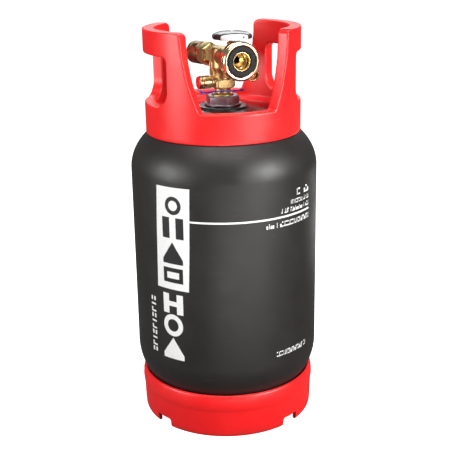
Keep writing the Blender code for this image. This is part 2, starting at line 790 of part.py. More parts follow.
def make_handwheel(black, white, steel, brass):
    """The fluted wheel, its white rim band, its screw, the spindle, the bonnet nut and the valve plug."""
    turn = Matrix.Rotation(math.radians(VALVE_YAW), 4, "Z")
    post = Matrix.Translation(towards(VALVE_YAW) * WHEEL_OFFSET) @ turn
    bm = bmesh.new()
    rows = []
    levels = (
        (0.0, -0.0012),
        (0.0012, 0.0),
        (RIM_TOP, 0.0),
        (RIM_TOP + 0.0010, -0.0012),
        (RIM_TOP + 0.0026, -0.0050),
        (RIM_TOP + 0.0037, -0.0100),
        (RIM_TOP + 0.0044, -0.0155),
        (WHEEL_H, -0.0200),
    )
    for height, inset in levels:
        row = []
        for a, radius in wheel_outline():
            r = radius + inset
            row.append(bm.verts.new((r * math.cos(a), r * math.sin(a), WHEEL_LOW_Z + height)))
        rows.append(row)
    count = len(rows[0])
    for low, high in zip(rows, rows[1:]):
        for i in range(count):
            j = (i + 1) % count
            bm.faces.new((low[i], low[j], high[j], high[i]))
    bm.faces.new(list(reversed(rows[0])))
    bm.faces.new(rows[-1])
    wheel = finish(bm, "handwheel", black, post)
    top = WHEEL_LOW_Z + WHEEL_H
    seat_r = WHEEL_R - BAND_DEPTH
    start = math.radians(-90.0 + BAND_TURN - BAND_HALF)
    cut(wheel, band_solid("band_seat", start, BAND_HALF, seat_r, WHEEL_R + 0.002, GAP, black, post))
    cut(wheel, rod("hub_bore", SPINDLE_R + GAP, WHEEL_LOW_Z - 0.01, top - HUB_SKIN, black, 20, post))
    cut(wheel, rod("screw_bore", 0.0020, WHEEL_LOW_Z, top + 0.01, black, 16, post))
    cut(wheel, rod("screw_seat", 0.0042, top - 0.0016, top + 0.01, black, 20, post))
    tidy(wheel)
    inner = seat_r + GAP
    margin = math.degrees(GAP / inner)
    start = math.radians(-90.0 + BAND_TURN - BAND_HALF + margin)
    band_solid("wheel_band", start, BAND_HALF - margin, inner, WHEEL_R - 0.0002, 2.0 * GAP, white, post)
    screw = [
        (0.0, top - HUB_SKIN + GAP),
        (0.0017, top - HUB_SKIN + GAP),
        (0.0017, top - 0.0012),
        (0.0036, top - 0.0012),
        (0.0038, top - 0.0004),
        (0.0030, top + 0.0004),
        (0.0, top + 0.0006),
    ]
    turned("wheel_screw", screw, steel, 20, post)
    low = PLUG_TOP_Z + PLUG_LIFT + 0.0008
    rod("spindle", SPINDLE_R, low, top - HUB_SKIN - GAP, steel, 20, post, chamfer=0.0004)
    nut_low = NUT_LOW_Z + GAP
    flats = BONNET_FLATS / math.sqrt(3.0)
    nut = prism("bonnet_nut", regular(6, flats), nut_low, nut_low + 0.0065, brass, post)
    cone = [
        (0.0, nut_low - 0.0001),
        (flats + 0.001, nut_low - 0.0001),
        (flats + 0.001, nut_low + 0.0048),
        (flats - 0.0026, nut_low + 0.0066),
        (0.0, nut_low + 0.0066),
    ]
    keep(nut, turned("cone", cone, brass, 32, post))
    cut(nut, rod("nut_bore", SPINDLE_R + GAP, nut_low - 0.01, nut_low + 0.02, brass, 20, post))
    tidy(nut)
    rod("valve_plug", 0.0046, 0.4953, PLUG_TOP_Z, brass, 20, post, chamfer=0.0006)


def band_solid(name, start, half_angle, inner_r, outer_r, inset, mat, frame):
    """A curved block on the wheel's rim: the rim's straight side less an inset at its foot and head."""
    bm = bmesh.new()
    steps = 13
    low_z = WHEEL_LOW_Z + inset
    high_z = WHEEL_LOW_Z + RIM_TOP - 0.0002 - inset
    rings = []
    for i in range(steps + 1):
        a = start + math.radians(2.0 * half_angle) * i / steps
        corners = []
        for radius, z in ((inner_r, low_z), (outer_r, low_z), (outer_r, high_z), (inner_r, high_z)):
            corners.append(bm.verts.new((radius * math.cos(a), radius * math.sin(a), z)))
        rings.append(corners)
    for left, right in zip(rings, rings[1:]):
        for i in range(4):
            j = (i + 1) % 4
            bm.faces.new((left[i], left[j], right[j], right[i]))
    bm.faces.new(rings[0])
    bm.faces.new(list(reversed(rings[-1])))
    return finish(bm, name, mat, frame)


def make_gauge_port(brass):
    """The small ring port beside the outlet and the bleed screw in it."""
    frame = port_frame(VALVE_YAW, GAUGE_Z, 0.0, GAUGE_SIDE)
    back = GAUGE_FORWARD - GAUGE_LENGTH + GAP
    ring = [
        (0.0, back),
        (GAUGE_R - 0.0012, back),
        (GAUGE_R - 0.0004, back + 0.0010),
        (GAUGE_R - 0.0004, GAUGE_FORWARD - 0.0030),
        (GAUGE_R, GAUGE_FORWARD - 0.0020),
        (GAUGE_R, GAUGE_FORWARD - 0.0006),
        (GAUGE_R - 0.0006, GAUGE_FORWARD),
        (0.0070, GAUGE_FORWARD),
        (0.0064, GAUGE_FORWARD - 0.0006),
        (0.0064, back + 0.0030),
        (0.0, back + 0.0030),
    ]
    turned("gauge_port", ring, brass, 24, frame)
    seat = back + 0.0030 + GAP
    screw = rod("bleed_screw", 0.0036, seat, GAUGE_FORWARD - 0.0008, brass, 16, frame, chamfer=0.0005)
    slot = box(
        "screw_slot",
        (-0.0050, -0.0005, GAUGE_FORWARD - 0.0020),
        (0.0050, 0.0005, GAUGE_FORWARD + 0.0020),
        brass,
        frame,
    )
    cut(screw, slot)
    tidy(screw)


def make_tie(blue):
    """The seal tie: a thin loop round the neck, lower at the left, with its knot and a short tail."""
    tilt = Matrix.Translation((0.0, 0.0, TIE_Z)) @ Matrix.Rotation(math.radians(-TIE_TILT), 4, "Y")
    tilt = tilt @ Matrix.Rotation(math.radians(-TIE_PITCH), 4, "X")
    wire = [
        (TIE_R + TIE_WIRE_R * math.cos(0.4 * math.pi * i), TIE_WIRE_R * math.sin(0.4 * math.pi * i))
        for i in range(5)
    ]
    turned("seal_tie", wire, blue, 36, tilt, ring=True)
    turn = Matrix.Rotation(math.radians(215.0), 4, "Z")
    place = tilt @ turn @ Matrix.Translation((TIE_R + 0.0030, 0.0, 0.0))
    knot = box("tie_lock", (-0.0019, -0.0022, -0.0016), (0.0019, 0.0022, 0.0016), blue, place)
    lean = Matrix.Rotation(math.radians(62.0), 4, "Y")
    add(knot, rod("tail", 0.0007, 0.0, 0.0090, blue, 10, place @ lean))
    tidy(knot)


def make_inside(brass, steel, plastic):
    """The dip tube and the float stop below the valve stem."""
    tube = [(0.0032, 0.0200), (0.0042, 0.0200), (0.0042, 0.4200), (0.0032, 0.4200)]
    turned("dip_tube", tube, steel, 16, ring=True)
    clamp_top = STEM_LOW_Z - GAP
    bracket = rod("float_bracket", 0.0110, clamp_top - 0.0040, clamp_top, brass, 24)
    for side in (-1.0, 1.0):
        low = (PIVOT.x - 0.0062, side * 0.0040 - 0.0008, PIVOT.z - 0.0035)
        high = (PIVOT.x - 0.0010, side * 0.0040 + 0.0008, clamp_top - 0.0010)
        add(bracket, box("ear", low, high, brass))
        low = (PIVOT.x - 0.0030, side * 0.0040 - 0.0008, PIVOT.z - 0.0035)
        high = (PIVOT.x + 0.0030, side * 0.0040 + 0.0008, PIVOT.z + 0.0035)
        add(bracket, box("eye", low, high, brass))
    across = Matrix.Translation(PIVOT) @ Matrix.Rotation(math.radians(90.0), 4, "X")
    cut(bracket, rod("pin_hole", 0.0010 + GAP, -0.0100, 0.0100, brass, 12, across))
    cut(bracket, rod("tube_hole", 0.0042 + GAP, 0.3000, 0.4300, brass, 20))
    tidy(bracket)
    rod("float_pin", 0.0010, -0.0055, 0.0055, steel, 12, across)
    hub = rod("float_arm", 0.0026, -0.0026, 0.0026, steel, 20, across)
    reach = ARM_LENGTH + 0.0010
    bar_low = (PIVOT.x + 0.001, -0.0012, PIVOT.z - 0.0008)
    bar_high = (PIVOT.x + reach, 0.0012, PIVOT.z + 0.0008)
    add(hub, box("bar", bar_low, bar_high, steel))
    cut(hub, rod("arm_bore", 0.0010 + GAP, -0.0100, 0.0100, steel, 12, across))
    tidy(hub)
    flat = Matrix.Rotation(math.radians(90.0), 4, "X")
    place = Matrix.Translation((PIVOT.x + ARM_LENGTH, 0.0, PIVOT.z)) @ flat
    ball = rod("float", FLOAT_R, -0.0170, 0.0170, plastic, 24, place, chamfer=0.0020)
    slit_low = (PIVOT.x + ARM_LENGTH - 0.0200, -0.0012 - GAP, PIVOT.z - 0.0008 - GAP)
    slit_high = (PIVOT.x + reach + GAP, 0.0012 + GAP, PIVOT.z + 0.0008 + GAP)
    cut(ball, box("slit", slit_low, slit_high, plastic))
    tidy(ball)
    swing = Matrix.Rotation(math.radians(ARM_HANG), 4, "Y")
    hang = Matrix.Translation(PIVOT) @ swing @ Matrix.Translation(-PIVOT)
    hub.matrix_world = hang @ hub.matrix_world
    ball.matrix_world = hang @ ball.matrix_world


def main():
    clear_scene()
    red = material("red_plastic", (0.82, 0.035, 0.02), 0.42)
    black = material("black_plastic", (0.022, 0.021, 0.020), 0.46)
    wheel_black = material("wheel_plastic", (0.025, 0.027, 0.030), 0.35)
    white = material("white_plastic", (0.85, 0.85, 0.85), 0.40)
    blue = material("blue_plastic", (0.03, 0.05, 0.40), 0.40)
    cream = material("float_plastic", (0.75, 0.72, 0.62), 0.50)
    rubber = material("black_rubber", (0.015, 0.015, 0.015), 0.70)
    brass = material("brass", (0.72, 0.52, 0.22), 0.28, 1.0)
    dark_brass = material("dark_brass", (0.30, 0.20, 0.11), 0.40, 1.0)
    steel = material("steel", (0.45, 0.43, 0.44), 0.35, 1.0)
    boss_steel = material("boss_steel", (0.28, 0.25, 0.28), 0.38, 1.0)
    make_bottle(black, steel)
    make_collar(red)
    make_foot_ring(red)
    make_neck_boss(boss_steel, rubber)
    make_valve_body(brass)
    make_outlet(brass, rubber)
    make_check(brass, steel)
    make_rear_port(brass, dark_brass, rubber)
    make_relief(brass, steel, rubber, red)
    make_handwheel(wheel_black, white, steel, brass)
    make_gauge_port(brass)
    make_tie(blue)
    make_inside(brass, steel, cream)


main()
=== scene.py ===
"""The looks of the refillable propane tank: fine meshes, materials, prints, light and camera.

Metres, +Z up, the front is -Y. Azimuths are in degrees round +Z, from 0 at -Y to 90 at +X.
"""

import math

import bmesh
import bpy
import numpy as np
from mathutils import Matrix, Vector


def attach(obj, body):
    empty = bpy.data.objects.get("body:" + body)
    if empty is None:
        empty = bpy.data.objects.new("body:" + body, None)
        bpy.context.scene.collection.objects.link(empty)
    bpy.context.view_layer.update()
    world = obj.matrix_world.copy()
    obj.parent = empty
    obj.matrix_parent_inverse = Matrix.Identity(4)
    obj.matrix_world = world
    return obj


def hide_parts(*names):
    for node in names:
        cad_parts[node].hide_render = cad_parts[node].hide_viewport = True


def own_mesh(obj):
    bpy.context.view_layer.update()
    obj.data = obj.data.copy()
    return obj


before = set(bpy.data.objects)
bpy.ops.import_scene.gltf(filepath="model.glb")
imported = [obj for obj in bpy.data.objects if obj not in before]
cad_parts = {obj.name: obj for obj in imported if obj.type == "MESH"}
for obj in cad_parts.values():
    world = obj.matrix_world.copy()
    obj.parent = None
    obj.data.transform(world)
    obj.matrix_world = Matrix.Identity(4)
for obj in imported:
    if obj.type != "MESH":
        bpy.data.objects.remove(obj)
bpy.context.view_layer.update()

# Camera
CAMERA_PLACE = (0.0, -1.230, 0.6526)
CAMERA_PITCH = 17.77
CAMERA_ROLL = -1.006
CAMERA_LENS = 75.9

# Edges that turn by more degrees than this are shaded sharp
SHARP = 35.0

# Clearances
GAP = 0.0003

# Bottle
BODY_R = 0.1231
JACKET_T = 0.0022
TOP_HEAD_Z = 0.3451
TOP_HEAD_H = 0.0791
LOW_HEAD_Z = 0.0988
LOW_HEAD_H = 0.0944
NECK_STEP_R = 0.0340
NECK_STEP_H = 0.0010
NECK_HOLE_R = 0.0182
INK = 0.00012
PANEL_LEFT = -45.3
PANEL_RIGHT = -20.4
PANEL_LEAN_LEFT = 1.6
PANEL_LEAN_RIGHT = 1.7
PANEL_LOW_Z = 0.2061
PANEL_HIGH_Z = 0.3415

# Collar
COLLAR_YAW = 11.5
COLLAR_R = 0.1015
COLLAR_IN_R = 0.0862
COLLAR_LEDGE_R = 0.0805
COLLAR_FOOT_Z = 0.3900
COLLAR_TOP_Z = 0.5260
GAP_LIP_Z = 0.4298
GAP_HALF_LOW = 28.2
GAP_HALF_TOP = 41.3
GAP_CURVE = 1.9
GAP_TOP_ROUND = 0.0065
SLOT_HALF = 35.5
SLOT_LOW_Z = 0.4325
SLOT_HIGH_Z = 0.4955
SLOT_LOW_ROUND = 0.0220
SLOT_HIGH_ROUND = 0.0070

# Foot ring
FOOT_R = 0.1190
FOOT_TOP_Z = 0.0605
FOOT_CREASE_Z = 0.0405
FOOT_IN_R = 0.1115
FOOT_LEDGE_Z = 0.0365
NOTCH_CENTRES = (-48.0, 46.0, 132.0, 226.0)
NOTCH_WIDTH = 0.0255
NOTCH_HEIGHT = 0.0120
NOTCH_ROUND = 0.0034

# Neck boss
BOSS_YAW = 15.0
BOSS_CORNER_R = 0.0225
BOSS_FLANGE_R = 0.0238
BOSS_FLANGE_H = 0.0026
BOSS_BASE_Z = 0.4247
BOSS_TOP_Z = 0.4372
BOSS_BORE_R = 0.0130
BOSS_RECESS_R = 0.0150

# Valve
VALVE_YAW = 23.0
PORT_Z = 0.4872
STEM_R = 0.0126
BLOCK_SIDE = 0.0262
BLOCK_LOW_Z = 0.4470
BLOCK_HIGH_Z = 0.4576
BARREL_R = 0.0130
BARREL_END = 0.0455
CENTRE_R = 0.0135
FLOW_R = 0.0045
WEB_AZ = -100.0
BODY_PHASE = 0.07

# Outlet
RING_R = 0.0245
RING_BACK = 0.0460
RING_FRONT = 0.0635
RING_BORE_R = 0.0192
SEAL_IN_R = 0.0122
SEAL_FACE = 0.0629
INSERT_R = 0.0119
INSERT_STEP_R = 0.0086
INSERT_MOUTH_R = 0.0108
CHECK_SPRING_Z = 0.0182

# Rear port
REAR_AZ = -142.0
HEX_FLATS = 0.0276
HEX_START = 0.0215
HEX_END = 0.0375
NIPPLE_END = 0.0545
REAR_NECK_R = 0.0130
CAP_R = 0.0148
CAP_END = 0.0600
NIPPLE_R = 0.0108

# Relief valve
RELIEF_AZ = -68.5
RELIEF_Z = 0.4550
RELIEF_R = 0.0084
RELIEF_BORE_R = 0.0058
RELIEF_END = 0.0327

# Handwheel
WHEEL_OFFSET = 0.0330
WHEEL_R = 0.0252
WHEEL_LOW_Z = 0.5125
WHEEL_H = 0.0098
WHEEL_FLUTES = 12
WHEEL_FLUTE_DEPTH = 0.0013
SPINDLE_R = 0.0030
BONNET_FLATS = 0.0126
BAND_HALF = 42.0
BAND_TURN = -15.0
BAND_DEPTH = 0.0026
RIM_TOP = 0.0052
HUB_SKIN = 0.0030
NUT_LOW_Z = 0.5022

# Level gauge port
GAUGE_FORWARD = 0.0440
GAUGE_SIDE = 0.0242
GAUGE_Z = 0.4668
GAUGE_R = 0.0085
GAUGE_LENGTH = 0.0090
ARM_Z = 0.4715
ARM_FORWARD = 0.0243

# Seal tie
TIE_R = 0.0278
TIE_WIRE_R = 0.0008
TIE_Z = 0.4412
TIE_TILT = 3.5
TIE_PITCH = 10.0


# ---------------------------------------------------------------- materials


class Tree:
    """A material's node tree, with short calls for the nodes that the looks need."""

    def __init__(self, name):
        self.mat = bpy.data.materials.new(name)
        self.mat.use_nodes = True
        self.nodes = self.mat.node_tree.nodes
        self.links = self.mat.node_tree.links
        self.shader = self.nodes["Principled BSDF"]
        self.coords = self.nodes.new("ShaderNodeTexCoord").outputs["Object"]

    def set(self, **values):
        for key, value in values.items():
            self.shader.inputs[key.replace("_", " ")].default_value = value

    def link(self, source, target):
        self.links.new(source, target)

    def stretch(self, scale):
        """The object's coordinates, scaled along each axis."""
        node = self.nodes.new("ShaderNodeMapping")
        node.inputs["Scale"].default_value = scale
        self.link(self.coords, node.inputs["Vector"])
        return node.outputs["Vector"]

    def round_coords(self, across, along):
        """Radius and height only, so that a noise read there makes rings, as a lathe does."""
        split = self.nodes.new("ShaderNodeSeparateXYZ")
        self.link(self.coords, split.inputs[0])
        x = self.math("POWER", split.outputs[0], 2.0)
        y = self.math("POWER", split.outputs[1], 2.0)
        radius = self.math("SQRT", self.math("ADD", x, y), 0.0)
        join = self.nodes.new("ShaderNodeCombineXYZ")
        self.link(self.math("MULTIPLY", radius, across), join.inputs[0])
        self.link(self.math("MULTIPLY", split.outputs[2], along), join.inputs[2])
        return join.outputs[0]

    def noise(self, scale, detail=2.0, rough=0.5, vector=None):
        node = self.nodes.new("ShaderNodeTexNoise")
        node.inputs["Scale"].default_value = scale
        node.inputs["Detail"].default_value = detail
        node.inputs["Roughness"].default_value = rough
        self.link(vector or self.coords, node.inputs["Vector"])
        return node.outputs[0]

    def math(self, operation, a, b):
        node = self.nodes.new("ShaderNodeMath")
        node.operation = operation
        for socket, value in zip(node.inputs, (a, b)):
            if isinstance(value, (int, float)):
                socket.default_value = value
            else:
                self.link(value, socket)
        return node.outputs[0]

    def spread(self, value, low, high, to_low, to_high):
        node = self.nodes.new("ShaderNodeMapRange")
        for socket, number in zip(list(node.inputs)[1:5], (low, high, to_low, to_high)):
            socket.default_value = number
        self.link(value, node.inputs[0])
        return node.outputs[0]

    def ramp(self, value, stops):
        node = self.nodes.new("ShaderNodeValToRGB")
        band = node.color_ramp
        while len(band.elements) < len(stops):
            band.elements.new(0.5)
        for element, (place, colour) in zip(band.elements, stops):
            element.position = place
            element.color = (*colour, 1.0)
        self.link(value, node.inputs[0])
        return node.outputs[0]

    def mix(self, share, a, b):
        node = self.nodes.new("ShaderNodeMix")
        node.data_type = "RGBA"
        self.link(share, node.inputs[0])
        for socket, value in ((node.inputs[6], a), (node.inputs[7], b)):
            if isinstance(value, tuple):
                socket.default_value = (*value, 1.0)
            else:
                self.link(value, socket)
        return node.outputs[2]

    def height(self, axis=2):
        split = self.nodes.new("ShaderNodeSeparateXYZ")
        self.link(self.coords, split.inputs[0])
        return split.outputs[axis]

    def edges(self, low, high):
        """One on worn convex edges and nought elsewhere."""
        geometry = self.nodes.new("ShaderNodeNewGeometry")
        return self.spread(geometry.outputs["Pointiness"], low, high, 0.0, 1.0)

    def bump(self, height, strength, distance, before=None):
        node = self.nodes.new("ShaderNodeBump")
        node.inputs["Strength"].default_value = strength
        node.inputs["Distance"].default_value = distance
        self.link(height, node.inputs["Height"])
        if before is not None:
            self.link(before, node.inputs["Normal"])
        return node.outputs[0]

    def colour(self, socket):
        self.link(socket, self.shader.inputs["Base Color"])

    def roughness(self, socket):
        self.link(socket, self.shader.inputs["Roughness"])

    def normal(self, socket):
        self.link(socket, self.shader.inputs["Normal"])


def red_plastic(name, scuffed=False):
    """Moulded satin red plastic: a fine grain, slow colour drift and light scuffs."""
    t = Tree(name)
    slow = t.noise(14.0, 3.0)
    base = t.ramp(slow, ((0.30, (0.80, 0.007, 0.009)), (0.70, (0.90, 0.012, 0.012))))
    scratch = t.noise(1.0, 6.0, 0.65, t.stretch((60.0, 60.0, 900.0)))
    marks = t.spread(scratch, 0.66, 0.72, 0.0, 0.30 if scuffed else 0.12)
    base = t.mix(marks, base, (0.95, 0.22, 0.20))
    if scuffed:
        low = t.spread(t.height(), 0.002, 0.012, 1.0, 0.0)
        dirt = t.math("MULTIPLY", low, t.spread(t.noise(160.0, 5.0), 0.45, 0.62, 0.0, 0.45))
        base = t.mix(dirt, base, (0.20, 0.045, 0.035))
    t.colour(base)
    t.roughness(t.spread(t.noise(55.0, 4.0), 0.3, 0.7, 0.32, 0.42))
    grain = t.bump(t.noise(1900.0, 2.0), 0.08, 0.0002)
    t.normal(t.bump(t.noise(120.0, 2.0), 0.05, 0.0010, grain))
    t.set(Specular_IOR_Level=0.55)
    return t.mat


def black_plastic():
    """The jacket: satin near-black plastic with a fine moulded grain, dust and faint rub marks."""
    t = Tree("jacket_black")
    slow = t.noise(9.0, 4.0)
    base = t.ramp(slow, ((0.30, (0.0105, 0.0092, 0.0080)), (0.72, (0.0145, 0.0130, 0.0115))))
    rub = t.spread(t.noise(1.0, 6.0, 0.6, t.stretch((30.0, 30.0, 420.0))), 0.62, 0.72, 0.0, 0.10)
    base = t.mix(rub, base, (0.09, 0.09, 0.088))
    specks = t.spread(t.noise(700.0, 1.0), 0.74, 0.80, 0.0, 0.22)
    t.colour(t.mix(specks, base, (0.10, 0.10, 0.095)))
    dome = t.spread(t.height(), 0.405, 0.418, 0.0, -0.18)
    t.roughness(t.math("ADD", t.spread(t.noise(34.0, 5.0), 0.3, 0.7, 0.40, 0.50), dome))
    grain = t.bump(t.noise(1500.0, 2.0), 0.12, 0.0002)
    t.normal(t.bump(t.noise(26.0, 2.0), 0.06, 0.0020, grain))
    return t.mat


def gloss_black():
    """The handwheel: glossy black plastic with fine swirls."""
    t = Tree("wheel_black")
    base = t.ramp(t.noise(90.0, 3.0), ((0.3, (0.012, 0.013, 0.014)), (0.7, (0.024, 0.026, 0.028))))
    t.colour(base)
    t.roughness(t.spread(t.noise(240.0, 4.0), 0.3, 0.7, 0.16, 0.30))
    t.normal(t.bump(t.noise(1400.0, 2.0), 0.05, 0.0002))
    t.set(Coat_Weight=0.35, Coat_Roughness=0.12)
    return t.mat


def plain_plastic(name, low, high, rough):
    """Small moulded pieces: two close colours, a fine grain and uneven gloss."""
    t = Tree(name)
    t.colour(t.ramp(t.noise(180.0, 3.0), ((0.3, low), (0.7, high))))
    t.roughness(t.spread(t.noise(320.0, 3.0), 0.3, 0.7, rough - 0.06, rough + 0.08))
    t.normal(t.bump(t.noise(2600.0, 2.0), 0.08, 0.0001))
    return t.mat


def rubber():
    """Black sealing rubber, slightly chalky, with a moulded texture."""
    t = Tree("seal_rubber")
    t.colour(t.ramp(t.noise(260.0, 4.0), ((0.3, (0.004, 0.004, 0.004)), (0.75, (0.010, 0.010, 0.010)))))
    t.roughness(t.spread(t.noise(420.0, 3.0), 0.3, 0.7, 0.52, 0.70))
    t.normal(t.bump(t.noise(2400.0, 3.0), 0.20, 0.0002))
    t.set(Specular_IOR_Level=0.25)
    return t.mat


def turned_metal(name, dark, light, rough, tarnish=0.35, tint=(0.20, 0.13, 0.05)):
    """Metal off a lathe: fine rings, faint patches of tarnish and uneven gloss."""
    t = Tree(name)
    rings = t.noise(1.0, 3.0, 0.6, t.round_coords(5200.0, 5200.0))
    base = t.ramp(t.noise(55.0, 3.0, 0.5), ((0.30, dark), (0.66, light)))
    patches = t.spread(t.noise(38.0, 4.0, 0.55), 0.54, 0.74, 0.0, tarnish)
    t.colour(t.mix(patches, base, tint))
    wear = t.spread(t.noise(120.0, 4.0), 0.3, 0.7, rough - 0.04, rough + 0.08)
    t.roughness(t.math("ADD", wear, t.spread(rings, 0.3, 0.7, -0.02, 0.03)))
    t.normal(t.bump(rings, 0.05, 0.00003))
    t.set(Metallic=1.0)
    return t.mat


def cast_metal(name, dark, light, rough):
    """Forged brass: a soft grainy skin, darker stains and brighter worn edges."""
    t = Tree(name)
    skin = t.noise(900.0, 4.0, 0.6)
    base = t.ramp(t.noise(60.0, 4.0, 0.55), ((0.30, dark), (0.66, light)))
    stains = t.spread(t.noise(45.0, 5.0, 0.6), 0.54, 0.72, 0.0, 0.35)
    base = t.mix(stains, base, (0.22, 0.15, 0.06))
    t.colour(t.mix(t.edges(0.52, 0.60), base, (0.80, 0.64, 0.34)))
    t.roughness(t.spread(skin, 0.3, 0.7, rough - 0.04, rough + 0.12))
    t.normal(t.bump(skin, 0.16, 0.00012))
    t.set(Metallic=1.0)
    return t.mat


def boss_metal():
    """The neck boss: dark machined steel with a plum-coloured oxide."""
    t = Tree("boss_steel")
    base = t.ramp(t.noise(85.0, 5.0), ((0.28, (0.22, 0.21, 0.24)), (0.72, (0.38, 0.36, 0.40))))
    rust = t.spread(t.noise(140.0, 6.0, 0.65), 0.60, 0.72, 0.0, 0.40)
    base = t.mix(rust, base, (0.20, 0.15, 0.14))
    t.colour(t.mix(t.edges(0.51, 0.56), base, (0.72, 0.70, 0.72)))
    mill = t.noise(1.0, 3.0, 0.6, t.stretch((300.0, 300.0, 4200.0)))
    t.roughness(t.spread(mill, 0.3, 0.7, 0.28, 0.42))
    t.normal(t.bump(mill, 0.10, 0.0001))
    t.set(Metallic=0.9)
    return t.mat


def ink(name, colour):
    """Screen-printed ink: nearly flat, with a slight orange peel and thin spots."""
    t = Tree(name)
    low = tuple(c * 0.90 for c in colour)
    t.colour(t.ramp(t.noise(420.0, 4.0), ((0.25, low), (0.55, colour))))
    t.roughness(t.spread(t.noise(300.0, 3.0), 0.3, 0.7, 0.34, 0.46))
    t.normal(t.bump(t.noise(1500.0, 2.0), 0.08, 0.0001))
    return t.mat


def floor_material(shade, glow):
    """A pale seamless studio floor."""
    t = Tree("studio_floor")
    pale = shade + 0.02
    t.colour(t.ramp(t.noise(0.6, 2.0), ((0.3, (shade, shade, shade)), (0.7, (pale, pale, pale)))))
    t.set(Roughness=0.9, Specular_IOR_Level=0.1, Emission_Strength=glow)
    t.shader.inputs["Emission Color"].default_value = (1.0, 1.0, 1.0, 1.0)
    return t.mat


# ---------------------------------------------------------------- mesh helpers


def towards(azimuth):
    a = math.radians(azimuth)
    return Vector((math.sin(a), -math.cos(a), 0.0))


def port_frame(azimuth, height, along=0.0, side=0.0):
    """A frame whose +Z leaves the axis along an azimuth, whose +Y is up and +X to the next azimuth."""
    out = towards(azimuth)
    up = Vector((0.0, 0.0, 1.0))
    across = up.cross(out)
    made = Matrix((across, up, out)).transposed().to_4x4()
    made.translation = out * along + across * side + up * height
    return made


def web_frame(azimuth):
    out = towards(azimuth)
    up = Vector((0.0, 0.0, 1.0))
    return Matrix((out, up, out.cross(up))).transposed().to_4x4()


def finish(bm, name, mat, place=None, smooth=SHARP):
    bmesh.ops.recalc_face_normals(bm, faces=bm.faces)
    mesh = bpy.data.meshes.new(name)
    bm.to_mesh(mesh)
    bm.free()
    mesh.shade_smooth()
    mesh.set_sharp_from_angle(angle=math.radians(smooth))
    mesh.materials.append(mat)
    thing = bpy.data.objects.new(name, mesh)
    bpy.context.collection.objects.link(thing)
    if place is not None:
        thing.matrix_world = place
    return thing


def turned(name, profile, mat, segments=96, place=None, ring=False, phase=0.0, smooth=SHARP):
    """Turns (radius, height) points round Z. A ring's profile closes on itself."""
    bm = bmesh.new()
    rows = []
    for radius, height in profile:
        if radius < 1e-7:
            rows.append([bm.verts.new((0.0, 0.0, height))])
            continue
        row = []
        for i in range(segments):
            a = 2.0 * math.pi * i / segments + phase
            row.append(bm.verts.new((radius * math.cos(a), radius * math.sin(a), height)))
        rows.append(row)
    pairs = list(zip(rows, rows[1:]))
    if ring:
        pairs.append((rows[-1], rows[0]))
    for low, high in pairs:
        for i in range(segments):
            j = (i + 1) % segments
            if len(low) == 1 and len(high) == 1:
                continue
            if len(low) == 1:
                bm.faces.new((low[0], high[j], high[i]))
            elif len(high) == 1:
                bm.faces.new((low[i], low[j], high[0]))
            else:
                bm.faces.new((low[i], low[j], high[j], high[i]))
    return finish(bm, name, mat, place, smooth)


def rounded(profile, radius, closed=False, steps=3):
    """Rounds a profile's corners with short arcs, less where a side is short."""
    count = len(profile)
    out = []
    for i, point in enumerate(profile):
        if not closed and i in (0, count - 1):
            out.append(point)
            continue
        here = Vector(point)
        before = Vector(profile[i - 1]) - here
        after = Vector(profile[(i + 1) % count]) - here
        reach = min(radius, 0.42 * before.length, 0.42 * after.length)
        if before.length < 1e-7 or after.length < 1e-7 or before.angle(after) > 2.95:
            out.append(point)
            continue
        a = here + before.normalized() * reach
        b = here + after.normalized() * reach
        for k in range(steps + 1):
            s = k / steps
            spot = a * (1 - s) ** 2 + here * 2 * s * (1 - s) + b * s**2
            out.append((max(0.0, spot.x), spot.y))
    return out


def rod(name, radius, start, end, mat, segments=64, place=None, chamfer=0.0, phase=0.0):
    profile = [(0.0, start)]
    if chamfer > 0.0:
        profile += [(radius - chamfer, start), (radius, start + chamfer)]
        profile += [(radius, end - chamfer), (radius - chamfer, end)]
    else:
        profile += [(radius, start), (radius, end)]
    profile += [(0.0, end)]
    return turned(name, profile, mat, segments, place, phase=phase)


def prism(name, outline, start, end, mat, place=None):
    bm = bmesh.new()
    low = [bm.verts.new((x, y, start)) for x, y in outline]
    high = [bm.verts.new((x, y, end)) for x, y in outline]
    count = len(outline)
    bm.faces.new(list(reversed(low)))
    bm.faces.new(high)
    for i in range(count):
        j = (i + 1) % count
        bm.faces.new((low[i], low[j], high[j], high[i]))
    return finish(bm, name, mat, place)


def box(name, low, high, mat, place=None):
    outline = [(low[0], low[1]), (high[0], low[1]), (high[0], high[1]), (low[0], high[1])]
    return prism(name, outline, low[2], high[2], mat, place)


def regular(count, corner_r, phase=0.0):
    step = 2.0 * math.pi / count
    angles = [phase + step * i for i in range(count)]
    return [(corner_r * math.cos(a), corner_r * math.sin(a)) for a in angles]


def loft(bm, rings):
    """Skins a row of rings of vertices and closes both ends."""
    count = len(rings[0])
    for left, right in zip(rings, rings[1:]):
        for i in range(count):
            j = (i + 1) % count
            bm.faces.new((left[i], left[j], right[j], right[i]))
    bm.faces.new(rings[0])
    bm.faces.new(list(reversed(rings[-1])))


def wedge(bm, columns, inner_r, outer_r):
    """A curved block round the axis. Each column is an azimuth with its low and high edge."""
    rings = []
    for azimuth, low, high in columns:
        out = towards(azimuth)
        corners = []
        for radius, z in ((inner_r, low), (outer_r, low), (outer_r, high), (inner_r, high)):
            corners.append(bm.verts.new((out.x * radius, out.y * radius, z)))
        rings.append(corners)
    loft(bm, rings)


def settle(thing):
    """Applies the thing's modifiers to its mesh."""
    bpy.context.view_layer.update()
    graph = bpy.context.evaluated_depsgraph_get()
    mesh = bpy.data.meshes.new_from_object(thing.evaluated_get(graph))
    thing.modifiers.clear()
    thing.data = mesh
    return thing


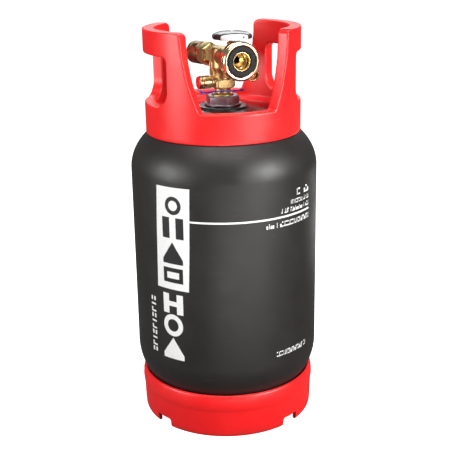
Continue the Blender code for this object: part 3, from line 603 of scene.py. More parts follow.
def combine(target, tool, operation):
    modifier = target.modifiers.new("cut", "BOOLEAN")
    modifier.operation = operation
    modifier.solver = "EXACT"
    modifier.object = tool
    settle(target)
    bpy.data.objects.remove(tool, do_unlink=True)
    return target


def add(target, tool):
    return combine(target, tool, "UNION")


def cut(target, tool):
    return combine(target, tool, "DIFFERENCE")


def keep(target, tool):
    return combine(target, tool, "INTERSECT")


def melt(thing, voxel, rounds):
    """Remeshes a solid and eases it, which rounds its edges and blends its joins as a moulding's are."""
    modifier = thing.modifiers.new("melt", "REMESH")
    modifier.mode = "VOXEL"
    modifier.voxel_size = voxel
    modifier.use_smooth_shade = True
    ease = thing.modifiers.new("ease", "SMOOTH")
    ease.factor = 0.5
    ease.iterations = rounds
    settle(thing)
    thing.data.shade_smooth()
    return thing


def soften(thing, width, segments=2, smooth=35.0):
    """Bevels the sharp edges of a cut shape."""
    modifier = thing.modifiers.new("soften", "BEVEL")
    modifier.width = width
    modifier.segments = segments
    modifier.limit_method = "ANGLE"
    modifier.angle_limit = math.radians(28.0)
    modifier.harden_normals = False
    modifier.use_clamp_overlap = True
    settle(thing)
    thing.data.shade_smooth()
    thing.data.set_sharp_from_angle(angle=math.radians(smooth))
    return thing


def install(thing, body, node):
    """Makes a piece ride on a body in a CAD node's place."""
    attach(thing, body)
    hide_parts(node)
    return thing


def lathe(node, body, profile, corner, mat, segments, place=None, ring=False):
    """Turns a profile with rounded corners, in a CAD node's place."""
    shape = rounded(profile, corner, ring)
    made = turned(node + "_fine", shape, mat, segments, place, ring=ring)
    return install(made, body, node)


def extra(thing, body):
    """A piece of detail that no CAD node stands for."""
    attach(thing, body)
    return thing


# ---------------------------------------------------------------- bottle


def head_radius(z):
    """The bottle's outer radius at a height."""
    if z > TOP_HEAD_Z:
        share = (z - TOP_HEAD_Z) / TOP_HEAD_H
    elif z < LOW_HEAD_Z:
        share = (LOW_HEAD_Z - z) / LOW_HEAD_H
    else:
        share = 0.0
    return BODY_R * math.sqrt(max(0.0, 1.0 - share * share))


def head_height(radius, inset=0.0, gap=0.0):
    """The top head's height at a radius."""
    share = radius / (BODY_R - inset)
    return TOP_HEAD_Z + (TOP_HEAD_H - inset) * math.sqrt(1.0 - share * share) + gap


def make_jacket(black):
    """The jacket: elliptic heads, a straight wall, a raised round step at the neck and its inner skin."""
    steps = 40
    step_z = head_height(NECK_HOLE_R) + NECK_STEP_H
    neck = [
        (NECK_HOLE_R, step_z - 0.0030),
        (NECK_HOLE_R, step_z),
        (NECK_STEP_R - 0.0016, step_z - 0.0002),
        (NECK_STEP_R - 0.0004, head_height(NECK_STEP_R) + 0.0001),
    ]
    profile = rounded(neck, 0.0009)
    start = math.asin(NECK_STEP_R / BODY_R)
    for i in range(steps + 1):
        a = start + (0.5 * math.pi - start) * i / steps
        profile.append((BODY_R * math.sin(a), TOP_HEAD_Z + TOP_HEAD_H * math.cos(a)))
    for i in range(1, 13):
        profile.append((BODY_R, TOP_HEAD_Z + (LOW_HEAD_Z - TOP_HEAD_Z) * i / 12))
    for i in range(1, steps + 1):
        a = 0.5 * math.pi * i / steps
        radius = BODY_R * math.cos(a) if i < steps else 0.0
        profile.append((radius, LOW_HEAD_Z - LOW_HEAD_H * math.sin(a)))
    full = BODY_R - JACKET_T
    inner = []
    begin = math.asin(NECK_HOLE_R / full)
    for i in range(steps // 2 + 1):
        a = begin + (0.5 * math.pi - begin) * i / (steps // 2)
        inner.append((full * math.sin(a), TOP_HEAD_Z + (TOP_HEAD_H - JACKET_T) * math.cos(a)))
    for i in range(steps // 2 + 1):
        a = 0.5 * math.pi * i / (steps // 2)
        radius = full * math.cos(a) if i < steps // 2 else 0.0
        inner.append((radius, LOW_HEAD_Z - (LOW_HEAD_H - JACKET_T) * math.sin(a)))
    outer = turned("jacket_skin", list(reversed(inner)) + profile, black, 256, smooth=50.0)
    return install(outer, "tank", "jacket")


class Print:
    """Ink on the bottle's wall. Marks are strips of columns, each an azimuth with a low and a high edge."""

    def __init__(self, name, mat, level=1.0):
        self.name = name
        self.mat = mat
        self.level = level
        self.bm = bmesh.new()

    def strip(self, columns):
        wedge(self.bm, columns, BODY_R + 0.00003, BODY_R + INK * self.level)

    def slope(self, start, end):
        """A strip between two columns, in steps of a degree."""
        count = max(1, math.ceil(abs(end[0] - start[0])))
        columns = []
        for i in range(count + 1):
            s = i / count
            columns.append(tuple(a + (b - a) * s for a, b in zip(start, end)))
        self.strip(columns)

    def bar(self, left, right, low, high):
        self.slope((left, low, high), (right, low, high))

    def frame(self, left, right, low, high, line):
        across = math.degrees(line / BODY_R)
        self.bar(left, right, low, low + line)
        self.bar(left, right, high - line, high)
        self.bar(left, left + across, low + line, high - line)
        self.bar(right - across, right, low + line, high - line)

    def ring(self, azimuth, z, radius, line):
        inner = radius - line
        count = 36
        upper = []
        lower = []
        for i in range(count + 1):
            s = -radius * math.cos(math.pi * i / count)
            rise = math.sqrt(max(0.0, radius**2 - s**2))
            hollow = math.sqrt(max(0.0, inner**2 - s**2))
            spot = azimuth + math.degrees(s / BODY_R)
            upper.append((spot, z + hollow, z + rise + 0.00001))
            lower.append((spot, z - rise - 0.00001, z - hollow))
        self.strip(upper)
        self.strip(lower)

    def row(self, left, right, low, high, glyphs, seed):
        """A line of small plain blocks, in the place of fine lettering."""
        pitch = (right - left) / glyphs
        for i in range(glyphs):
            kind = (i * 7 + seed * 5 + (i * i) % 11) % 6
            if kind == 5 and 0 < i < glyphs - 1:
                continue
            a = left + pitch * i + 0.12 * pitch
            b = left + pitch * (i + 1) - 0.12 * pitch
            tall = high - low
            line = 0.24 * tall
            stem = 0.34 * (b - a)
            if kind == 0:
                self.bar(a, a + stem, low, high)
                self.bar(a + stem, b, high - line, high)
            elif kind == 1:
                self.bar(a, b, low, low + line)
                self.bar(a, b, high - line, high)
            elif kind == 2:
                self.bar(a, b, low, low + 0.62 * tall)
            elif kind == 3:
                self.bar(b - stem, b, low, high)
                self.bar(a, b - stem, low, low + line)
            else:
                self.bar(a + 0.5 * (b - a - stem), a + 0.5 * (b - a + stem), low, high)

    def done(self):
        thing = finish(self.bm, self.name, self.mat, smooth=30.0)
        return extra(thing, "tank")


def make_prints(white, black):
    """The white panel with its dark marks, the marks below it, the pinstripe and the rows of fine print."""
    paper = Print("print_white", white)
    tall = PANEL_HIGH_Z - PANEL_LOW_Z
    top_left = PANEL_LEFT + PANEL_LEAN_LEFT
    foot_right = PANEL_RIGHT - PANEL_LEAN_RIGHT
    paper.slope((top_left, PANEL_LOW_Z, PANEL_HIGH_Z), (top_left + 0.01, PANEL_LOW_Z, PANEL_HIGH_Z))
    count = 24
    columns = []
    for i in range(count + 1):
        azimuth = PANEL_LEFT + (PANEL_RIGHT - PANEL_LEFT) * i / count
        low = PANEL_LOW_Z
        high = PANEL_HIGH_Z
        if azimuth < top_left:
            high = PANEL_LOW_Z + tall * (azimuth - PANEL_LEFT) / PANEL_LEAN_LEFT + 0.0001
        if azimuth > foot_right:
            low = PANEL_LOW_Z + tall * (azimuth - foot_right) / PANEL_LEAN_RIGHT - 0.0001
        columns.append((azimuth, low, high))
    paper.strip(columns)
    paper.bar(-20.8, 61.1, 0.2983, 0.3007)

    paper.bar(-41.0, -36.6, 0.1725, 0.1997)
    paper.bar(-31.0, -26.6, 0.1725, 0.1997)
    paper.bar(-36.6, -31.0, 0.1828, 0.1894)
    paper.ring(-34.2, 0.1561, 0.0152, 0.0066)
    paper.slope((-42.0, 0.1085, 0.1150), (-34.4, 0.1085, 0.1385))
    paper.slope((-34.4, 0.1085, 0.1385), (-26.8, 0.1085, 0.1150))

    paper.row(47.0, 60.3, 0.3230, 0.3320, 7, 1)
    paper.row(42.0, 60.5, 0.3135, 0.3190, 15, 2)
    paper.row(34.7, 60.6, 0.3040, 0.3100, 21, 3)
    paper.row(24.5, 60.8, 0.2870, 0.2937, 27, 4)
    paper.row(31.5, 58.3, 0.1100, 0.1170, 22, 5)
    for i in range(10):
        low = 0.1110 + 0.0080 * i
        if i % 3 == 1:
            paper.bar(-52.4, -48.2, low, low + 0.0022)
            paper.bar(-52.4, -51.2, low + 0.0022, low + 0.0058)
        elif i % 3 == 2:
            paper.bar(-52.4, -48.2, low + 0.0018, low + 0.0042)
        else:
            paper.bar(-52.4, -51.0, low, low + 0.0058)
            paper.bar(-49.6, -48.2, low, low + 0.0058)
    paper.done()

    dark = Print("print_dark", black, 1.7)
    dark.ring(-31.6, 0.3180, 0.0118, 0.0052)
    dark.bar(-39.6, -34.4, 0.2750, 0.3025)
    dark.bar(-30.0, -24.8, 0.2750, 0.3025)
    dark.slope((-39.9, 0.2410, 0.2470), (-32.8, 0.2410, 0.2700))
    dark.slope((-32.8, 0.2410, 0.2700), (-25.7, 0.2410, 0.2470))
    dark.frame(-39.9, -26.0, 0.2155, 0.2355, 0.0056)
    dark.done()


# ---------------------------------------------------------------- collar and foot ring


def column_cutter(name, columns, inner_r, outer_r, mat):
    """A wedge of curved outline, to cut with."""
    bm = bmesh.new()
    wedge(bm, columns, inner_r, outer_r)
    return finish(bm, name, mat)


def gap_columns(centre):
    """The front or back gap: a curve that widens upwards from the lip and rounds off at the top."""
    top = COLLAR_TOP_Z + 0.010
    steps = 40
    side = []
    for i in range(steps + 1):
        t = (i / steps) ** 1.2
        half = GAP_HALF_LOW + (GAP_HALF_TOP - GAP_HALF_LOW) * (1.0 - (1.0 - t) ** GAP_CURVE)
        z = GAP_LIP_Z + t * (COLLAR_TOP_Z - GAP_LIP_Z)
        above = z - (COLLAR_TOP_Z - GAP_TOP_ROUND)
        if above > 0.0:
            widen = GAP_TOP_ROUND - math.sqrt(max(0.0, GAP_TOP_ROUND**2 - above**2))
            half += math.degrees(widen / COLLAR_R)
        side.append((half, z))
    columns = [(centre - half, z, top) for half, z in reversed(side)]
    count = 48
    for i in range(1, count):
        columns.append((centre - GAP_HALF_LOW + 2.0 * GAP_HALF_LOW * i / count, GAP_LIP_Z, top))
    columns += [(centre + half, z, top) for half, z in side]
    return columns


def slot_columns(centre):
    """A hand slot: wide round corners below, small ones above."""
    middle_r = 0.5 * (COLLAR_R + COLLAR_IN_R)
    half = math.radians(SLOT_HALF) * middle_r
    stations = []
    for i in range(19):
        stations.append(-half + SLOT_LOW_ROUND * (1.0 - math.cos(0.5 * math.pi * i / 18)))
    stations += [-half + SLOT_LOW_ROUND + (half - SLOT_LOW_ROUND) * i / 12 for i in range(1, 13)]
    stations += [-s for s in reversed(stations[:-1])]
    columns = []
    for s in stations:
        edge = half - abs(s)
        low = SLOT_LOW_Z
        if edge < SLOT_LOW_ROUND:
            low += SLOT_LOW_ROUND - math.sqrt(SLOT_LOW_ROUND**2 - (SLOT_LOW_ROUND - edge) ** 2)
        high = SLOT_HIGH_Z
        if edge < SLOT_HIGH_ROUND:
            high -= SLOT_HIGH_ROUND - math.sqrt(SLOT_HIGH_ROUND**2 - (SLOT_HIGH_ROUND - edge) ** 2)
        columns.append((centre + math.degrees(s / middle_r), low, high))
    return columns


def true_up(thing, walls):
    """Puts a remeshed wall's vertices back on its exact radius, away from its edges."""
    mesh = thing.data
    count = len(mesh.vertices)
    spots = np.empty(3 * count, dtype=np.float32)
    facing = np.empty(3 * count, dtype=np.float32)
    mesh.vertices.foreach_get("co", spots)
    mesh.vertex_normals.foreach_get("vector", facing)
    spots = spots.reshape(-1, 3)
    facing = facing.reshape(-1, 3)
    radius = np.hypot(spots[:, 0], spots[:, 1])
    tilt = (facing[:, 0] * spots[:, 0] + facing[:, 1] * spots[:, 1]) / radius
    for wall, low, high, side in walls:
        near = (spots[:, 2] > low) & (spots[:, 2] < high) & (abs(radius - wall) < 0.0008)
        near &= tilt * side > 0.985
        spots[near, :2] *= (wall / radius[near])[:, None]
    mesh.vertices.foreach_set("co", spots.reshape(-1))
    mesh.update()
    return thing


def make_collar(red):
    """The collar: two gaps, two hand slots, every edge rounded as moulded."""
    profile = [
        (COLLAR_R, COLLAR_FOOT_Z + 0.0010),
        (COLLAR_R, COLLAR_TOP_Z),
        (COLLAR_IN_R, COLLAR_TOP_Z),
        (COLLAR_IN_R, 0.4205),
        (COLLAR_LEDGE_R, 0.4170),
        (COLLAR_LEDGE_R, head_height(COLLAR_LEDGE_R, gap=0.0006)),
        (0.0860, head_height(0.0860, gap=0.0006)),
        (0.0910, head_height(0.0910, gap=0.0005)),
        (0.0970, head_height(0.0970, gap=0.0004)),
        (COLLAR_R - 0.0008, head_height(COLLAR_R - 0.0008, gap=0.0004)),
    ]
    collar = turned("collar_fine", profile, red, 240, ring=True, phase=math.radians(COLLAR_YAW))
    for index, centre in enumerate((COLLAR_YAW, COLLAR_YAW + 180.0)):
        cut(collar, column_cutter("gap_%d" % index, gap_columns(centre), 0.070, 0.112, red))
    for index, centre in enumerate((COLLAR_YAW + 90.0, COLLAR_YAW - 90.0)):
        cut(collar, column_cutter("slot_%d" % index, slot_columns(centre), 0.070, 0.112, red))
    melt(collar, 0.0011, 14)
    walls = (
        (COLLAR_R, COLLAR_FOOT_Z + 0.004, COLLAR_TOP_Z - 0.004, 1.0),
        (COLLAR_IN_R, 0.4245, COLLAR_TOP_Z - 0.004, -1.0),
    )
    true_up(collar, walls)
    return install(collar, "tank", "collar")


def make_foot_ring(red):
    """The foot ring: a soft crease, a round top rim against the bottle and four drain notches."""
    seat = [(head_radius(z) + 0.0005, z) for z in (0.0400, 0.0440, 0.0480, 0.0520, 0.0560)]
    outside = [
        (FOOT_IN_R, 0.0),
        (FOOT_R - 0.0036, 0.0),
        (FOOT_R - 0.0024, 0.0030),
        (FOOT_R - 0.0019, 0.0100),
        (FOOT_R - 0.0015, 0.0240),
        (FOOT_R - 0.0011, 0.0370),
        (FOOT_R - 0.0003, FOOT_CREASE_Z),
        (FOOT_R, 0.0450),
        (FOOT_R - 0.0004, 0.0520),
        (FOOT_R - 0.0018, 0.0585),
        (FOOT_R - 0.0042, FOOT_TOP_Z),
        (FOOT_R - 0.0064, 0.0588),
    ]
    inside = [
        (seat[0][0] - 0.0010, FOOT_LEDGE_Z),
        (FOOT_IN_R - 0.0020, FOOT_LEDGE_Z),
        (FOOT_IN_R, FOOT_LEDGE_Z - 0.0020),
    ]
    profile = rounded(outside + list(reversed(seat)) + inside, 0.0022, closed=True, steps=4)
    ring = turned("foot_ring_fine", profile, red, 240, ring=True)
    for index, centre in enumerate(NOTCH_CENTRES):
        half = 0.5 * NOTCH_WIDTH
        outline = [(-half, -0.010), (half, -0.010)]
        for i in range(9):
            a = 0.5 * math.pi * i / 8
            across = half - NOTCH_ROUND + NOTCH_ROUND * math.cos(a)
            outline.append((across, NOTCH_HEIGHT - NOTCH_ROUND + NOTCH_ROUND * math.sin(a)))
        outline.append((-half, NOTCH_HEIGHT))
        if index % 2 == 1:
            outline = [(-x, y) for x, y in reversed(outline)]
        cut(ring, prism("notch_%d" % index, outline, 0.100, 0.130, red, port_frame(centre, 0.0)))
    soften(ring, 0.0010, 3)
    return install(ring, "tank", "foot_ring")


# ---------------------------------------------------------------- neck and valve


def make_neck_boss(steel, black):
    """The hexagonal boss on its round flange, and the seal in its recess."""
    yaw = Matrix.Rotation(math.radians(BOSS_YAW - 90.0), 4, "Z")
    low = BOSS_BASE_Z + BOSS_FLANGE_H
    hexagon = prism("neck_boss_fine", regular(6, BOSS_CORNER_R), low - 0.0010, BOSS_TOP_Z, steel, yaw)
    flats = BOSS_CORNER_R * math.cos(math.radians(30.0))
    corner = [
        (0.0, low - 0.0020),
        (BOSS_CORNER_R + 0.001, low - 0.0020),
        (BOSS_CORNER_R + 0.001, BOSS_TOP_Z - 0.0026),
        (flats - 0.0008, BOSS_TOP_Z + 0.0001),
        (0.0, BOSS_TOP_Z + 0.0001),
    ]
    keep(hexagon, turned("corner", corner, steel, 128))
    add(hexagon, rod("flange", BOSS_FLANGE_R, BOSS_BASE_Z, low, steel, 128, chamfer=0.0006))
    add(hexagon, rod("spigot", NECK_HOLE_R - 0.0006, BOSS_BASE_Z - 0.0080, low - 0.0004, steel, 96))
    cut(hexagon, rod("bore", BOSS_BORE_R, BOSS_BASE_Z - 0.02, BOSS_TOP_Z + 0.01, steel, 96))
    cut(hexagon, rod("recess", BOSS_RECESS_R, BOSS_TOP_Z - 0.0036, BOSS_TOP_Z + 0.01, steel, 96))
    soften(hexagon, 0.00035, 3)
    install(hexagon, "tank", "neck_boss")
    seal = [
        (STEM_R + GAP, BOSS_TOP_Z - 0.0033),
        (BOSS_RECESS_R - GAP, BOSS_TOP_Z - 0.0033),
        (BOSS_RECESS_R - GAP, BOSS_TOP_Z - 0.0018),
        (STEM_R + GAP, BOSS_TOP_Z - 0.0018),
    ]
    lathe("neck_seal", "tank", seal, 0.0006, black, 96, ring=True)


def make_valve_body(brass):
    """The valve's forged and turned body, its joins blended as a forging's are."""
    yaw = Matrix.Rotation(math.radians(VALVE_YAW), 4, "Z")
    stem = [
        (0.0, 0.4150),
        (STEM_R, 0.4150),
        (STEM_R, BOSS_TOP_Z - 0.0016),
        (BOSS_BORE_R + 0.0016, BOSS_TOP_Z - 0.0015),
        (BOSS_BORE_R + 0.0016, BOSS_TOP_Z + 0.0010),
        (BOSS_BORE_R - 0.0002, BOSS_TOP_Z + 0.0026),
        (0.0106, BOSS_TOP_Z + 0.0032),
        (0.0106, 0.4600),
        (0.0112, 0.4660),
        (CENTRE_R, 0.4730),
        (CENTRE_R, 0.4975),
        (CENTRE_R - 0.0015, 0.4992),
        (0.0, 0.4992),
    ]
    body = turned("valve_body_fine", stem, brass, 96, phase=BODY_PHASE)
    half = 0.5 * BLOCK_SIDE
    block = box("block", (-half, -half, BLOCK_LOW_Z), (half, half, BLOCK_HIGH_Z), brass, yaw)
    round_block = [
        (0.0, BLOCK_LOW_Z - 0.0001),
        (half + 0.0012, BLOCK_LOW_Z - 0.0001),
        (half + 0.0040, BLOCK_LOW_Z + 0.0016),
        (half + 0.0040, BLOCK_HIGH_Z - 0.0016),
        (half + 0.0012, BLOCK_HIGH_Z + 0.0001),
        (0.0, BLOCK_HIGH_Z + 0.0001),
    ]
    keep(block, turned("round_block", round_block, brass, 96))
    add(body, block)
    out = port_frame(VALVE_YAW, PORT_Z)
    add(body, rod("barrel", BARREL_R, -0.0023, BARREL_END, brass, 96, out, phase=BODY_PHASE))
    bonnet_seat = Matrix.Translation(towards(VALVE_YAW) * WHEEL_OFFSET)
    add(body, rod("bonnet_seat", 0.0072, PORT_Z, NUT_LOW_Z, brass, 64, bonnet_seat))
    back = port_frame(REAR_AZ, PORT_Z)
    corner = math.radians(30.0)
    add(body, rod("back_neck", REAR_NECK_R, 0.0031, HEX_START - GAP, brass, 6, back, phase=corner))
    relief = port_frame(RELIEF_AZ, RELIEF_Z)
    add(body, rod("relief_neck", 0.0076, 0.0017, 0.0170, brass, 64, relief))
    web = [(0.004, 0.4570), (0.0105, 0.4570), (0.0165, 0.4640), (0.0165, 0.4800), (0.004, 0.4800)]
    add(body, prism("web", web, -0.0035, 0.0035, brass, web_frame(WEB_AZ)))
    gauge = port_frame(VALVE_YAW, GAUGE_Z, 0.0, GAUGE_SIDE)
    arm_end = GAUGE_FORWARD - GAUGE_LENGTH
    add(body, rod("gauge_arm", 0.0052, ARM_FORWARD - 0.0050, arm_end, brass, 64, gauge))
    across = port_frame(VALVE_YAW + 90.0, ARM_Z, 0.0, -ARM_FORWARD)
    add(body, rod("bridge", 0.0060, 0.0011, GAUGE_SIDE + 0.0010, brass, 64, across, phase=BODY_PHASE))
    cut(body, rod("plug_well", 0.0050, PORT_Z + 0.0023, 0.5100, brass, 48, bonnet_seat, phase=0.11))
    cut(body, rod("flow", FLOW_R, -0.004, BARREL_END + 0.01, brass, 48, out))
    cut(body, rod("check_well", 0.0070, 0.0180, BARREL_END + 0.01, brass, 48, out))
    melt(body, 0.00036, 5)
    return install(body, "tank", "valve_body")


def make_outlet(brass, bright, black):
    """The coupling ring with its grooved side, the seal and the stepped insert."""
    out = port_frame(VALVE_YAW, PORT_Z)
    ring = [
        (BARREL_R + GAP, RING_BACK - 0.0030),
        (0.0188, RING_BACK - 0.0030),
        (0.0200, RING_BACK - 0.0018),
        (0.0200, RING_BACK),
        (RING_R - 0.0020, RING_BACK + 0.0004),
        (RING_R - 0.0006, RING_BACK + 0.0024),
        (RING_R - 0.0002, RING_FRONT - 0.0078),
        (RING_R - 0.0016, RING_FRONT - 0.0070),
        (RING_R - 0.0016, RING_FRONT - 0.0056),
        (RING_R, RING_FRONT - 0.0048),
        (RING_R, RING_FRONT - 0.0026),
        (RING_R - 0.0014, RING_FRONT - 0.0008),
        (RING_R - 0.0026, RING_FRONT),
        (RING_BORE_R + 0.0014, RING_FRONT),
        (RING_BORE_R, RING_FRONT - 0.0012),
        (RING_BORE_R, RING_BACK + 0.0030),
        (BARREL_R + GAP, RING_BACK + 0.0030),
    ]
    lathe("outlet_ring", "tank", ring, 0.0006, bright, 192, out, ring=True)
    seal = [
        (SEAL_IN_R, RING_BACK + 0.0034),
        (RING_BORE_R - GAP, RING_BACK + 0.0034),
        (RING_BORE_R - GAP, SEAL_FACE - 0.0006),
        (RING_BORE_R - 0.0012, SEAL_FACE),
        (SEAL_IN_R + 0.0008, SEAL_FACE),
        (SEAL_IN_R, SEAL_FACE - 0.0008),
    ]
    lathe("outlet_seal", "tank", seal, 0.0005, black, 160, out, ring=True)
    insert = [
        (FLOW_R, BARREL_END - 0.0080),
        (0.0067, BARREL_END - 0.0080),
        (0.0067, BARREL_END + GAP),
        (INSERT_R, BARREL_END + GAP),
        (INSERT_R, SEAL_FACE - 0.0012),
        (INSERT_R - 0.0004, SEAL_FACE - 0.0006),
        (INSERT_MOUTH_R, SEAL_FACE - 0.0006),
        (INSERT_MOUTH_R - 0.0004, BARREL_END + 0.0080),
        (INSERT_STEP_R, BARREL_END + 0.0070),
        (INSERT_STEP_R, BARREL_END + 0.0020),
        (FLOW_R + 0.0004, BARREL_END - 0.0004),
        (FLOW_R, BARREL_END - 0.0012),
    ]
    lathe("outlet_insert", "tank", insert, 0.0003, brass, 128, out, ring=True)


def coil(name, mean_r, wire_r, start, end, turns, mat, place):
    """A coil spring, as one tube."""
    bm = bmesh.new()
    per_turn = 36
    sides = 12
    rings = []
    total = turns * per_turn
    for i in range(total + 1):
        a = 2.0 * math.pi * i / per_turn
        z = start + wire_r + (end - start - 2.0 * wire_r) * i / total
        row = []
        for k in range(sides):
            b = 2.0 * math.pi * k / sides
            r = mean_r + wire_r * math.cos(b)
            row.append(bm.verts.new((r * math.cos(a), r * math.sin(a), z + wire_r * math.sin(b))))
        rings.append(row)
    loft(bm, rings)
    return finish(bm, name, mat, place)


def squashed_coil(node, mean_r, wire_r, start, end, mat, place):
    """A coil spring in a CAD node's place, with a mesh of its own."""
    made = coil(node + "_fine", mean_r, wire_r, start, end, 4, mat, place)
    install(made, "tank", node)
    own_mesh(made)


def make_check(black, steel):
    """The poppet behind the outlet insert and its spring."""
    out = port_frame(VALVE_YAW, PORT_Z)
    top = BARREL_END - 0.0083
    poppet = [
        (0.0, top - 0.0060),
        (0.0020, top - 0.0060),
        (0.0020, top - 0.0022),
        (0.0052, top - 0.0020),
        (0.0052, top - 0.0006),
        (0.0036, top),
        (0.0, top + 0.0004),
    ]
    lathe("check_poppet", "check_poppet", poppet, 0.0003, black, 64, out)
    low = CHECK_SPRING_Z
    high = top - 0.0024
    squashed_coil("check_spring", 0.0042, 0.0004, low, high, steel, out)


def make_rear_port(brass, dark_brass, black):
    """The hexagonal adapter with its nipple, the knurled round cap and its washer."""
    back = port_frame(REAR_AZ, PORT_Z)
    corner = HEX_FLATS / math.sqrt(3.0)
    flats = 0.5 * HEX_FLATS
    hexagon = regular(6, corner, math.radians(30.0))
    adapter = prism("rear_adapter_fine", hexagon, HEX_START, HEX_END, brass, back)
    rounder = [
        (0.0, HEX_START),
        (flats - 0.0006, HEX_START),
        (corner, HEX_START + 0.0030),
        (corner, HEX_END - 0.0022),
        (flats - 0.0006, HEX_END),
        (0.0, HEX_END),
    ]
    keep(adapter, turned("rounder", rounder, brass, 128, back))
    add(adapter, rod("collar_ring", flats - 0.0003, HEX_END - 0.001, HEX_END + 0.0017, brass, 96, back))
    add(adapter, rod("nipple", NIPPLE_R, HEX_END, NIPPLE_END, brass, 96, back, chamfer=0.0008))
    cut(adapter, rod("nipple_bore", 0.0060, HEX_START + 0.006, 0.0800, brass, 64, back))
    soften(adapter, 0.0003, 3)
    install(adapter, "tank", "rear_adapter")
    mouth = HEX_END + 0.0017 + GAP
    inside_r = NIPPLE_R + 0.0004
    cap = [
        (0.0, CAP_END),
        (CAP_R - 0.0016, CAP_END),
        (CAP_R, CAP_END - 0.0016),
        (CAP_R, CAP_END - 0.0060),
        (CAP_R - 0.0007, CAP_END - 0.0064),
        (CAP_R - 0.0007, CAP_END - 0.0072),
        (CAP_R, CAP_END - 0.0076),
        (CAP_R, mouth + 0.0010),
        (CAP_R - 0.0010, mouth),
        (inside_r, mouth),
        (inside_r, CAP_END - 0.0030),
        (0.0, CAP_END - 0.0030),
    ]
    lathe("rear_cap", "rear_cap", cap, 0.0004, dark_brass, 160, back)
    washer = [
        (0.0062, NIPPLE_END + 0.0004),
        (NIPPLE_R, NIPPLE_END + 0.0004),
        (NIPPLE_R, CAP_END - 0.0034),
        (0.0062, CAP_END - 0.0034),
    ]
    lathe("cap_washer", "rear_cap", washer, 0.0005, black, 96, back, ring=True)


def make_relief(brass, black, red, steel):
    """The relief valve's housing, spring, poppet, spring seat and red dust cap."""
    side = port_frame(RELIEF_AZ, RELIEF_Z)
    seat = 0.0175
    low = seat + 0.0034
    high = RELIEF_END - 0.0050 - GAP
    squashed_coil(
        "relief_spring", 0.0040, 0.0005, low, high, steel, side
    )
    housing = [
        (0.0035, seat),
        (RELIEF_R - 0.0006, seat),
        (RELIEF_R, seat + 0.0006),
        (RELIEF_R, RELIEF_END - 0.0050),
        (RELIEF_R - 0.0004, RELIEF_END - 0.0046),
        (RELIEF_R - 0.0004, RELIEF_END - 0.0040),
        (RELIEF_R, RELIEF_END - 0.0036),
        (RELIEF_R, RELIEF_END - 0.0006),
        (RELIEF_R - 0.0006, RELIEF_END),
        (RELIEF_BORE_R + 0.0008, RELIEF_END),
        (RELIEF_BORE_R, RELIEF_END - 0.0008),
        (RELIEF_BORE_R, seat + 0.0012),
        (0.0035, seat + 0.0012),
    ]
    lathe("relief_housing", "tank", housing, 0.0003, brass, 128, side, ring=True)
    poppet = [
        (0.0, seat + 0.0015),
        (RELIEF_BORE_R - 0.0004, seat + 0.0015),
        (RELIEF_BORE_R - 0.0004, seat + 0.0030),
        (0.0018, seat + 0.0032),
        (0.0018, seat + 0.0070),
        (0.0, seat + 0.0070),
    ]
    lathe("relief_poppet", "relief_poppet", poppet, 0.0003, black, 64, side)
    holder = RELIEF_END - 0.0050
    ring = [
        (0.0024, holder),
        (RELIEF_BORE_R - GAP, holder),
        (RELIEF_BORE_R - GAP, holder + 0.0016),
        (0.0024, holder + 0.0016),
    ]
    made = turned("relief_seat_fine", rounded(ring, 0.0003, True), brass, 64, side, ring=True)
    install(made, "tank", "relief_spring_seat")
    cap = [
        (0.0, RELIEF_END - 0.0028),
        (RELIEF_BORE_R - 0.0004, RELIEF_END - 0.0028),
        (RELIEF_BORE_R - 0.0004, RELIEF_END + 0.0004),
        (RELIEF_R - 0.0005, RELIEF_END + 0.0004),
        (RELIEF_R - 0.0005, RELIEF_END + 0.0012),
        (RELIEF_R - 0.0012, RELIEF_END + 0.0018),
        (0.0030, RELIEF_END + 0.0019),
        (0.0024, RELIEF_END + 0.0012),
        (0.0, RELIEF_END + 0.0012),
    ]
    lathe("relief_cap", "relief_cap", cap, 0.0004, red, 96, side)


# ---------------------------------------------------------------- handwheel, port and tie


